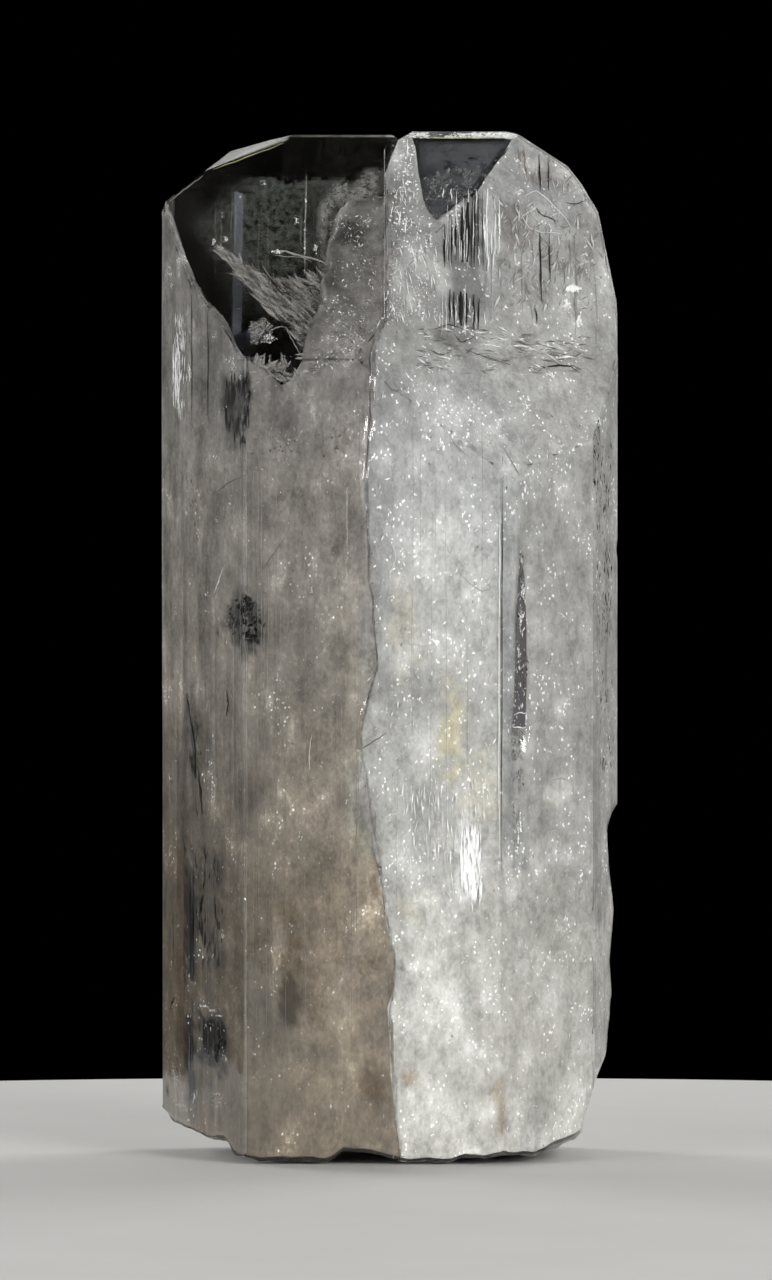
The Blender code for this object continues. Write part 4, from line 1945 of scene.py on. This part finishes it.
TRIANGLE = Region(((1.6, 59.4), (7.3, 59.4), (5.4, 56.6), (3.3, 54.7), (2.0, 54.8), (1.7, 57.0)), 0.2)
GRANULES = Region(
    ((1.7, 57.4), (3.4, 57.9), (5.4, 58.4), (5.6, 57.0), (4.4, 55.6), (2.6, 54.4), (1.9, 55.2)),
    0.5,
)
SPIRE = Region(
    (
        (0.8, 59.5), (0.0, 57.3), (-0.2, 51.0), (-1.0, 48.5), (3.0, 48.5), (3.0, 53.0), (2.0, 55.6),
        (1.5, 58.6),
    ),
    0.4,
)
CREST = Region(((1.1, 59.58), (7.5, 59.58), (7.5, 59.93), (1.1, 59.93)), 0.05)
SHOULDER = Region(((5.9, 57.4), (10.5, 57.8), (12.6, 54.0), (12.8, 49.2), (6.0, 49.4)), 0.8)
CHANNEL_GLINTS = Knots(
    (
        (7.8, 33.2, 0.2, 0.6, 90), (7.7, 31.6, 0.15, 0.8, 80), (7.6, 29.7, 0.1, 0.4, 60),
        (7.7, 35.0, 0.06, 0.4, 20),
    ),
)
BREAK = Knots(((10.8, 50.75, 0.34, 0.16, 240), (10.4, 49.8, 0.2, 0.4, 30), (11.1, 49.0, 0.2, 0.5, 30)))
# Where the left edge catches light, painted with chalky grains
LEFT_PAINTED_SHINE = Region(((-12.6, 49.6), (-11.85, 49.2), (-11.75, 44.6), (-12.2, 42.8), (-12.6, 44.0)), 0.25)
RAIN = Region(((0.5, 22.6), (6.1, 22.6), (5.6, 15.4), (3.8, 14.6), (2.6, 17.6), (0.7, 17.6)), 0.6)
LEVEL_CRACKS = Region(((1.6, 48.8), (6.0, 48.6), (12.0, 48.2), (12.2, 45.6), (1.4, 45.8)), 0.5)
SEAM_EDGE = Region(
    tuple((x - 0.22, z) for z, x in SEAM[1:8]) + tuple((x + 0.2, z) for z, x in reversed(SEAM[1:8])), 0.12,
)
CHANNEL_MOUTH = Region(
    (
        (7.68, 37.4), (8.04, 35.2), (8.24, 33.0), (8.2, 30.0), (8.14, 28.0), (8.0, 25.3), (7.05, 25.3),
        (7.25, 28.6), (7.38, 31.0), (7.52, 34.0),
    ),
    0.06,
)
CHANNEL_FOOT = Region(((7.05, 25.3), (8.0, 25.3), (7.8, 19.0), (7.5, 17.0), (7.0, 19.0)), 0.2)
DARK_GREEN = Region(
    ((-9.7, 45.9), (-8.0, 45.8), (-7.9, 43.6), (-8.4, 41.4), (-9.2, 41.6), (-9.7, 43.6)),
    0.4,
)
DARK_SMUDGE = Region(((-9.6, 32.6), (-8.2, 33.4), (-7.1, 31.6), (-7.6, 30.0), (-9.2, 30.2)), 0.4)
DARK_PATCH = Region(((-10.9, 8.4), (-9.7, 8.3), (-9.4, 7.0), (-9.8, 5.5), (-10.8, 5.5)), 0.25)
DARK_RUN = Region(((-11.7, 18.5), (-9.2, 17.5), (-9.6, 11.0), (-11.5, 11.0)), 0.6)
DARK_SHRED = Region(((-12.0, 27.5), (-11.0, 26.0), (-10.4, 20.0), (-11.4, 20.0), (-11.9, 24.0)), 0.3)
UPPER_SPOTS = Region(((-12.3, 40.2), (-10.8, 40.0), (-10.6, 36.0), (-12.1, 36.0)), 0.4)
LEVEL_SPOTS = Region(((-8.5, 42.5), (-2.0, 43.5), (-2.5, 40.5), (-8.0, 40.0)), 0.6)
RIM_DASHES = Region(((11.7, 43.0), (13.15, 44.0), (13.15, 22.5), (12.2, 22.5)), 0.3)
BRIGHT_RUN = Region(((4.0, 19.8), (5.3, 19.6), (5.4, 15.4), (4.9, 14.6), (4.1, 16.0)), 0.3)
PEARLY = Region(((0.6, 17.0), (12.4, 17.0), (12.2, 2.2), (8.0, 1.0), (0.9, 1.0), (0.2, 11.0)), 0.5)
RIGHT_BODY = Region(
    (
        (-0.9, 46.0), (12.9, 46.0), (12.6, 42.0), (7.6, 39.0), (7.2, 22.0), (12.6, 19.0), (-0.6, 17.0),
        (-1.6, 25.0),
    ),
    0.9,
)
LEFT_BODY = Region(
    ((-12.9, 50.0), (-8.5, 46.0), (-1.2, 46.0), (-1.8, 26.0), (-0.4, 2.5), (-12.6, 3.0)),
    0.5,
)

VEILS: tuple[Veil, ...] = (
    Veil(
        "dome_streaks", DOME, 3.0, 0.3, 211, 0.2,
        VeilFinish("faint growth streaks", "#666A62", "#30332C", 0.3, 7.0, 0.0, 0.46, 0.64),
    ),
    Veil(
        "cloud_fringe", CLOUD_FRINGE, 1.2, 0.5, 221, 0.15,
        VeilFinish("cloud of fine drops", "#85847F", "#4A4A46", 0.35, 0.8, 0.0, 0.85, 0.6),
    ),
    Veil(
        "triangle_haze", TRIANGLE, 1.0, 0.3, 231, 0.2,
        VeilFinish("thin blue-grey haze", "#6C6F73", "#3C3F42", 0.8, 1.0, 0.0, 0.42, 0.52),
    ),
    Veil(
        "plume", PLUME, 1.3, 0.35, 241, 0.15,
        VeilFinish("feathery healed crack", "#8E8B86", "#4E4C49", 0.16, 2.2, -44.0, 0.85, 0.68),
    ),
    Veil(
        "blue_band", BLUE_BAND, 4.0, 0.05, 261, 0.08,
        VeilFinish("bluish growth band", "#6A6D78", "#474A54", 0.16, 5.0, 0.0, 0.75, 0.4),
    ),
    # Painted reflection: a pale sheet just under the lens facet makes the facet look lit
    Veil(
        "lens_painted_sheen", LENS, 0.3, 0.02, 251, 0.1,
        VeilFinish("pale sheet under a side facet, painted reflection", "#A3A39B", "#6E6E68", 0.5, 0.6, 0.0, 0.7, 0.3),
    ),
    # Painted shade: a dark sheet in the channel's mouth deepens the darkness seen down the sunk channel
    Veil(
        "channel_mouth_painted_shade", CHANNEL_MOUTH, 0.5, 0.03, 281, 0.06,
        VeilFinish("channel wall, painted shade", "#5C565A", "#242023", 0.2, 0.8, 0.0, 0.97, 0.4),
    ),
)
# Depths behind the surface at which grains lie
NEAR = (0.02, 0.13)
UNDER = (0.02, 0.14)
DEEPER = (0.03, 0.14)
# Sparkle: crack faces that flash by reflection, mixed with pale and chalky grains whose white is painted
# sparkle
SPARKLE = (PALE, CHALKY, FLASHING, COOL_FLASH, WARM_FLASH)
SOFT_SPARKLE = (PALE, CHALKY, FLASHING)

GRAIN_BEDS: tuple[GrainBed, ...] = (
    GrainBed("right_glints", 1500, (0.02, 0.17), 2.8, 36.0, 0.35, SPARKLE, 301, RIGHT_GLINTS, NEAR, 12.0),
    GrainBed("left_glints", 2000, (0.03, 0.14), 1.8, 25.0, 0.35, SPARKLE, 306, LEFT_GLINTS, UNDER),
    GrainBed(
        "dome_glints", 9999, (0.05, 0.2), 1.7, 40.0, 0.5, (GREY_SHADED, CHALKY, FLASHING), 311, DOME_GLINTS,
        (0.7, 1.1),
    ),
    GrainBed(
        "cloud_grains", 700, (0.05, 0.3), 2.2, 40.0, 0.6, (DIM_SHADED, EMPTY), 316, CLOUD_FRINGE, (0.15, 1.4),
    ),
    GrainBed(
        "cloud_wisps", 1800, (0.03, 0.3), 3.2, 40.0, 0.4, (DIM_SHADED, SHARD, GREY_SHADED, PALE), 318, CLOUD,
        (0.02, 0.16), -16.0, 0.6,
    ),
    # Painted highlight: pale grains under the crest make its band of light
    GrainBed(
        "crest_painted_light", 800, (0.08, 0.3), 2.0, 20.0, 0.2, (PALE, CHALKY), 319, CREST, (0.03, 0.1), 90.0,
        2.0,
    ),
    GrainBed("spire_needles", 260, (0.2, 1.4), 14.0, 8.0, 0.25, (CHALKY, GREY_SHADED), 321, SPIRE, UNDER, -4.0),
    GrainBed("spire_sparks", 800, (0.05, 0.22), 1.8, 30.0, 0.35, SPARKLE, 326, SPIRE, NEAR, -8.0),
    GrainBed("plume_shards", 260, (0.5, 2.2), 7.0, 12.0, 0.35, (SHARD,), 341, PLUME, (0.6, 1.6), -44.0),
    GrainBed(
        "plume_barbs", 700, (0.12, 0.7), 6.0, 16.0, 0.4, (GREY_SHADED, DIM_SHADED, EMPTY), 346, PLUME, (0.5, 1.5), -50.0,
        0.5,
    ),
    GrainBed("tuft", 420, (0.08, 0.4), 3.0, 50.0, 0.6, (GREY_SHADED, SHARD), 351, PLUME_TUFT, (0.6, 1.1), 10.0),
    GrainBed(
        "wedge_shards", 200, (0.2, 1.1), 3.0, 45.0, 0.5, (SHARD, GREY_SHADED), 356, WEDGE_FOOT, (0.2, 0.8), 60.0,
    ),
    GrainBed(
        "granules", 700, (0.05, 0.4), 2.6, 30.0, 0.7, (GREY_SHADED, DIM_SHADED, SHARD), 361, GRANULES, (0.6, 1.4), 35.0,
        0.5,
    ),
    GrainBed(
        "shoulder_wisps", 620, (0.1, 1.2), 8.0, 26.0, 0.4, (SHARD, PALE, GREY_SHADED), 363, SHOULDER, UNDER, 14.0,
        0.7,
    ),
    # Painted highlight: a white knot of chalky grains for the flash of a broken face
    GrainBed("bright_break_painted_flash", 9999, (0.1, 0.35), 1.5, 30.0, 0.2, (CHALKY,), 366, BREAK, (0.02, 0.12), 60.0),
    GrainBed(
        "level_cracks", 520, (0.1, 1.0), 8.0, 16.0, 0.3, (GREY_SHADED, CHALKY, DIM_SHADED), 371, LEVEL_CRACKS, NEAR, 88.0,
        0.6,
    ),
    GrainBed("seam_grains", 300, (0.05, 0.24), 2.2, 20.0, 0.4, (GREY_SHADED, RUSTY), 391, SEAM_EDGE, UNDER),
    GrainBed(
        "channel_grains", 700, (0.05, 0.5), 3.2, 16.0, 0.6, (EMPTY, DIM_SHADED, CHALKY), 451, CHANNEL_MOUTH,
        (0.42, 0.6), 3.0,
    ),
    GrainBed(
        "channel_glints", 999, (0.04, 0.3), 2.5, 20.0, 0.6, SPARKLE, 453, CHANNEL_GLINTS, (0.36, 0.44),
    ),
    GrainBed(
        "channel_foot", 260, (0.05, 0.4), 3.0, 12.0, 0.5, (EMPTY, GREY_SHADED), 456, CHANNEL_FOOT, (0.35, 0.55),
        3.0,
    ),
    GrainBed("bright_run", 420, (0.2, 1.4), 10.0, 4.0, 0.2, (CHALKY,), 461, BRIGHT_RUN, NEAR),
    GrainBed("bright_rain", 420, (0.1, 1.1), 12.0, 5.0, 0.2, (CHALKY, PALE), 466, RAIN, NEAR, clump=0.5),
    # Painted highlight on the left edge: chalky grains
    GrainBed(
        "left_painted_shine", 380, (0.06, 0.9), 5.0, 8.0, 0.25, (CHALKY, PALE), 468, LEFT_PAINTED_SHINE, NEAR, clump=0.5,
    ),
    GrainBed("green_dark", 200, (0.2, 1.6), 12.0, 5.0, 0.25, (EMPTY,), 471, DARK_GREEN, DEEPER),
    GrainBed(
        "smudge_dark", 190, (0.05, 0.7), 2.0, 40.0, 0.4, (EMPTY,), 481, DARK_SMUDGE, DEEPER, 24.0, 0.9,
    ),
    GrainBed("patch_dark", 300, (0.08, 0.6), 3.0, 16.0, 0.4, (EMPTY,), 491, DARK_PATCH, DEEPER, clump=0.5),
    GrainBed("run_dark", 130, (0.12, 1.4), 9.0, 8.0, 0.3, (EMPTY,), 501, DARK_RUN, DEEPER, 4.0),
    GrainBed("shred_dark", 70, (0.12, 1.0), 7.0, 10.0, 0.3, (EMPTY,), 506, DARK_SHRED, DEEPER, -6.0),
    GrainBed("upper_spots", 70, (0.06, 0.35), 3.0, 14.0, 0.4, (EMPTY, RUSTY), 511, UPPER_SPOTS, DEEPER),
    GrainBed(
        "level_spots", 120, (0.05, 0.3), 2.0, 40.0, 0.4, (EMPTY, RUSTY, GREY_SHADED), 516, LEVEL_SPOTS, DEEPER,
        40.0,
    ),
    GrainBed("rim_dashes", 280, (0.12, 0.6), 4.5, 8.0, 0.3, (EMPTY,), 526, RIM_DASHES, DEEPER, -3.0),
    GrainBed(
        "pearly_sparks", 1300, (0.03, 0.3), 5.0, 22.0, 0.3, SOFT_SPARKLE, 521, PEARLY, NEAR, 28.0, 0.7,
    ),
    GrainBed(
        "right_sparks", 850, (0.03, 0.45), 5.0, 30.0, 0.3, SOFT_SPARKLE, 536, RIGHT_BODY, NEAR, 12.0, 0.7,
    ),
    # Sparks on the left: grey and pale grains whose colour is painted sparkle
    GrainBed(
        "left_sparks", 1100, (0.025, 0.2), 3.0, 24.0, 0.3, (GREY_SHADED, PALE, SHARD), 531, LEFT_BODY, NEAR,
        clump=0.9,
    ),
)
# The milk sparkles are mostly pale grains painted as sparkle, with a few cool crack faces that flash by
# reflection
SCATTERED: tuple[ScatteredGrains, ...] = (
    ScatteredGrains(
        "right_milk_sparkles", 1400, (0.03, 0.2), 3.0, 24.0, 0.4, (PALE, CHALKY, COOL_FLASH), 401,
        (0.0, 0.12), (Side.RIGHT,),
    ),
    ScatteredGrains(
        "left_milk_sparkles", 2600, (0.02, 0.14), 3.0, 12.0, 0.4, (GREY_SHADED, PALE, COOL_FLASH), 406,
        (0.0, 0.12), (Side.LEFT,),
    ),
    ScatteredGrains(
        "milk_dark_grains", 1400, (0.05, 0.3), 3.0, 14.0, 0.4, (EMPTY, RUSTY, GREY_SHADED), 411, (0.0, 0.1),
        tuple(Side),
    ),
)
# Black bars under the right end, painted shade for the dark lines of its striated face, and a few dark
# needles: (x, bottom, top, width)
BARS = (
    (3.2, 52.0, 54.5, 0.12), (3.42, 52.4, 54.7, 0.08), (3.62, 52.2, 55.0, 0.1), (3.9, 52.4, 55.1, 0.1),
    (4.22, 52.3, 55.5, 0.24), (4.52, 52.3, 55.8, 0.26), (4.78, 52.0, 56.2, 0.08), (4.98, 52.0, 56.4, 0.08),
    (5.2, 52.4, 56.3, 0.07), (5.45, 51.8, 56.4, 0.06), (3.5, 48.8, 50.7, 0.1), (3.8, 48.6, 50.6, 0.1),
    (4.2, 48.6, 50.6, 0.3), (4.45, 48.6, 50.5, 0.24), (4.9, 48.4, 50.4, 0.12), (5.2, 48.4, 50.2, 0.1),
    (8.88, 56.5, 58.6, 0.11), (8.88, 50.0, 54.0, 0.12), (9.38, 56.5, 58.3, 0.08), (9.38, 51.0, 54.0, 0.09),
    (8.6, 48.7, 49.6, 0.1),
)

LEFT_THREADS = Threads(
    "left_threads", 421,
    (
        Line((-11.52, -11.52), (43.1, 50.4), 1, (0.12, 0.13), (EMPTY,)),
        Line((-10.5, -10.5), (43.1, 49.3), 1, (0.13, 0.14), (EMPTY,)),
        Line((-11.6, -11.6), (10.4, 16.9), 1, (0.26, 0.28), (EMPTY,), 0.1),
        Line((-11.48, -11.48), (10.4, 16.5), 1, (0.2, 0.22), (EMPTY,), 0.1),
        Line((-11.6, -11.6), (3.6, 8.4), 1, (0.26, 0.28), (EMPTY,), 0.1),
        Line((-11.48, -11.48), (3.6, 8.4), 1, (0.2, 0.22), (EMPTY,), 0.1),
        Line((-12.6, -12.6), (10.2, 15.5), 1, (0.12, 0.13), (EMPTY,)),
        Line((-11.95, -11.85), (17.0, 18.6), 2, (0.16, 0.2), (EMPTY,)),
        Line((-8.1, -8.0), (43.0, 46.0), 2, (0.06, 0.1), (EMPTY,)),
        Line((-12.8, -11.9), (43.6, 48.0), 18, (0.1, 0.26), (CHALKY,)),
        Line((-11.65, -11.55), (45.3, 46.7), 2, (0.06, 0.1), (CHALKY,)),
        Line((-4.65, -4.55), (22.5, 25.8), 3, (0.02, 0.03), (CHALKY,)),
        Line((-10.8, -4.0), (50.5, 57.2), 12, (0.02, 0.04), (SHARD,), 2.6),
        Line((-7.48, -7.48), (52.3, 58.5), 1, (0.06, 0.07), (SHARD,), 2.6),
        Line((-4.95, -4.95), (51.6, 57.4), 1, (0.05, 0.06), (GREY_SHADED,), 1.6),
        Line((-13.2, -6.5), (12.0, 47.0), 40, (0.02, 0.045), (SHARD, DIM_SHADED)),
        Line((-12.2, -1.5), (3.0, 45.0), 34, (0.02, 0.035), (SHARD, DIM_SHADED)),
    ),
    (
        Crack(
            ((-6.9, 52.75), (-6.4, 53.05), (-5.9, 52.85), (-5.0, 52.6), (-4.2, 52.45), (-3.5, 52.1)),
            0.16, GREY_SHADED, 0.9,
        ),
        Crack(((-6.8, 52.7), (-6.0, 52.62), (-5.2, 52.6), (-4.4, 52.3)), 0.06, GREY_SHADED, 0.9),
        Crack(((-6.0, 48.5), (-5.7, 47.9), (-5.3, 47.2), (-5.0, 46.8)), 0.06, GREY_SHADED, 0.5),
        Crack(((-7.0, 48.3), (-6.4, 48.55), (-5.9, 48.5)), 0.07, GREY_SHADED, 0.6),
        Crack(
            ((-4.9, 46.6), (-4.6, 47.2), (-4.0, 47.4), (-3.6, 47.0), (-4.0, 46.5), (-4.6, 46.3)),
            0.06, GREY_SHADED, 0.2,
        ),
        Crack(((-8.3, 52.2), (-7.6, 51.3), (-6.9, 50.5), (-6.2, 50.0)), 0.08, GREY_SHADED, 0.7),
        Crack(((-7.5, 52.2), (-6.8, 51.2), (-6.0, 50.2), (-5.2, 49.2)), 0.07, GREY_SHADED, 0.7),
        Crack(((-6.6, 51.2), (-5.9, 50.4), (-5.0, 49.6), (-4.2, 48.6)), 0.07, GREY_SHADED, 0.7),
        Crack(((-9.9, 52.9), (-8.8, 51.6), (-7.6, 50.3), (-6.4, 49.3)), 0.08, GREY_SHADED, 0.7),
        Crack(((-7.2, 51.6), (-6.6, 50.9), (-6.1, 50.3)), 0.14, EMPTY, 0.65),
        Crack(((-6.3, 51.2), (-5.9, 50.5), (-5.7, 49.9)), 0.16, EMPTY, 0.65),
        Crack(((-8.0, 46.6), (-7.2, 46.2), (-6.6, 45.6), (-6.1, 45.3)), 0.08, GREY_SHADED),
        Crack(((-7.0, 45.9), (-6.3, 45.95), (-5.8, 45.4)), 0.07, EMPTY),
        Crack(((-5.6, 46.0), (-5.3, 45.4), (-4.9, 44.9)), 0.07, GREY_SHADED),
        Crack(((-10.35, 38.7), (-9.2, 39.6), (-8.0, 40.1)), 0.035, EMPTY),
        Crack(((-5.5, 37.4), (-6.4, 35.8), (-7.6, 34.2), (-8.45, 33.7)), 0.03, RUSTY),
        Crack(((-10.2, 33.0), (-9.9, 33.8), (-9.6, 34.6)), 0.06, CHALKY),
        Crack(((-12.9, 8.4), (-12.75, 9.0), (-12.55, 9.3)), 0.2, EMPTY),
        Crack(((-12.95, 55.8), (-12.1, 56.48), (-10.9, 57.45)), 0.06, GREY_SHADED, 0.05),
        Crack(((-11.85, 27.4), (-11.7, 26.0), (-11.4, 24.4), (-11.3, 22.0)), 0.4, EMPTY),
        Crack(((-11.2, 23.2), (-11.0, 21.6), (-10.9, 20.0)), 0.2, EMPTY),
        Crack(((-9.45, 27.6), (-9.35, 26.6), (-9.5, 25.9)), 0.16, EMPTY),
        Crack(((-8.8, 17.4), (-8.7, 16.4), (-8.5, 15.6)), 0.05, RUSTY),
        Crack(((-10.2, 15.6), (-10.1, 14.4), (-9.95, 13.4)), 0.18, EMPTY),
        # painted highlight along the lens facet's lower edge
        Crack(((-10.6, 57.66), (-8.4, 58.48), (-6.0, 59.38)), 0.08, PAINTED_EDGE_LIGHT, 0.06),
    ),
)
RIGHT_THREADS = Threads(
    "right_threads", 431,
    (
        *(Line((x, x), (low, high), 1, (width, width), (EMPTY,)) for x, low, high, width in BARS),
        # Painted highlights: the bright lines of the end's striated face, as white tubes
        Line((2.9, 5.7), (47.9, 51.2), 20, (0.03, 0.08), (CHALKY,)),
        Line((3.0, 5.9), (51.6, 56.6), 30, (0.03, 0.08), (CHALKY,)),
        Line((5.5, 6.5), (51.6, 56.6), 9, (0.05, 0.12), (CHALKY,)),
        Line((9.5, 11.2), (50.0, 54.0), 10, (0.04, 0.08), (GREY_SHADED,)),
        Line((7.6, 9.6), (57.4, 59.2), 7, (0.03, 0.06), (RUSTY, EMPTY)),
        Line((5.5, 8.5), (48.5, 53.5), 10, (0.03, 0.06), (GREY_SHADED,)),
        Line((10.4, 12.2), (47.0, 53.0), 10, (0.03, 0.06), (GREY_SHADED,)),
        Line((6.49, 6.49), (17.0, 41.0), 1, (0.06, 0.07), (EMPTY,), 0.08),
        Line((6.36, 6.38), (17.0, 41.0), 2, (0.06, 0.08), (CHALKY,), 0.08),
        Line((4.1, 5.2), (15.2, 19.6), 10, (0.08, 0.2), (CHALKY,)),
        Line((-0.6, 6.2), (12.0, 45.0), 10, (0.015, 0.03), (SHARD, GREY_SHADED)),
    ),
    (
        # level cracks
        Crack(((2.3, 47.3), (2.8, 46.95), (3.3, 46.9)), 0.06, EMPTY),
        Crack(((4.2, 47.3), (5.3, 46.9), (6.3, 46.5), (7.2, 46.3)), 0.045, EMPTY),
        Crack(((8.8, 46.1), (9.8, 46.3), (11.0, 46.1)), 0.1, EMPTY),
        Crack(((9.3, 46.6), (10.0, 46.3), (10.9, 46.2)), 0.05, EMPTY),
        Crack(((2.4, 48.3), (3.4, 48.7), (4.6, 48.3)), 0.05, EMPTY),
        Crack(((3.7, 48.2), (4.2, 47.6), (5.0, 48.0)), 0.06, EMPTY),
        Crack(((4.4, 46.7), (5.4, 46.9), (6.4, 46.8)), 0.05, PALE),
        Crack(((5.2, 47.55), (6.0, 47.45), (6.6, 47.3)), 0.08, CHALKY),
        Crack(((8.3, 47.4), (9.0, 47.5), (9.7, 47.3)), 0.07, CHALKY),
        Crack(((7.0, 45.9), (7.7, 45.75), (8.6, 45.8)), 0.04, PALE),
        # shell-shaped crack
        Crack(((7.7, 55.3), (8.0, 54.5), (8.6, 54.1), (9.4, 54.0), (10.3, 54.0)), 0.06, CHALKY),
        Crack(
            ((7.8, 56.0), (8.6, 56.6), (9.3, 56.0), (10.0, 55.2), (10.6, 54.6), (10.7, 54.2)),
            0.06, CHALKY,
        ),
        Crack(((8.1, 55.8), (8.4, 55.0), (9.0, 54.5), (9.8, 54.4)), 0.05, PALE),
        Crack(((8.6, 55.7), (8.8, 55.1), (9.4, 54.9), (10.0, 54.6)), 0.08, EMPTY),
        Crack(((10.3, 55.8), (11.0, 55.7), (11.7, 56.0)), 0.06, EMPTY),
        # body
        Crack(((-0.1, 36.7), (0.44, 35.2), (-0.1, 34.0), (0.73, 33.4)), 0.035, PALE),
        Crack(((3.9, 34.4), (4.7, 33.7), (5.3, 33.2), (6.3, 33.6)), 0.04, GREY_SHADED),
        Crack(((9.7, 32.0), (10.1, 31.8), (10.4, 31.5)), 0.04, CHALKY),
        Crack(((-1.7, 24.1), (-0.85, 24.6), (-0.15, 25.1)), 0.06, RUSTY),
        Crack(((8.95, 21.5), (9.3, 22.3), (10.1, 22.45), (10.8, 21.9), (10.75, 21.2)), 0.05, PALE),
        Crack(((7.3, 26.1), (7.7, 26.2), (8.1, 26.15)), 0.07, CHALKY, 0.4),
        Crack(((7.1, 25.35), (7.6, 25.35), (8.05, 25.3)), 0.07, CHALKY, 0.4),
        Crack(((3.4, 42.4), (3.9, 41.6), (4.6, 41.0)), 0.06, GREY_SHADED),
        Crack(((6.6, 41.6), (7.2, 40.6), (7.6, 39.8)), 0.08, GREY_SHADED),
        # edges of the clear end, lined with painted highlights
        Crack(((1.1, 59.62), (3.0, 59.62), (5.2, 59.62), (7.4, 59.62)), 0.08, PAINTED_EDGE_LIGHT, 0.05),
        Crack(((1.05, 59.6), (1.05, 59.0), (1.08, 58.4)), 0.07, CHALKY, 0.05),
    ),
)


def main() -> None:
    """Build the crystal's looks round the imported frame, piece by piece."""
    logging.basicConfig(level=logging.INFO, format="%(message)s")
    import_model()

    skin = Skin().build()
    skin.data.materials.append(ClearDanburite().build())
    skin.visible_shadow = False
    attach(skin, BODY)
    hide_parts(NODE)
    LOG.info("%s: %d faces", skin.name, len(skin.data.polygons))

    shelter = Shelter(skin)
    milks = {milk.side: milk.build(shelter) for milk in (LEFT_MILK, RIGHT_MILK)}
    sealed = [*milks.values()]
    sealed += [inside.build(shelter) for inside in (*VEILS, *GRAIN_BEDS, LEFT_THREADS, RIGHT_THREADS)]
    sealed += [grains.build(milks, shelter) for grains in SCATTERED]
    for piece in sealed:
        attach(piece, BODY)
        LOG.info("%s: %d faces", piece.name, len(piece.data.polygons))

    Studio().build()


if __name__ == "__main__":
    main()
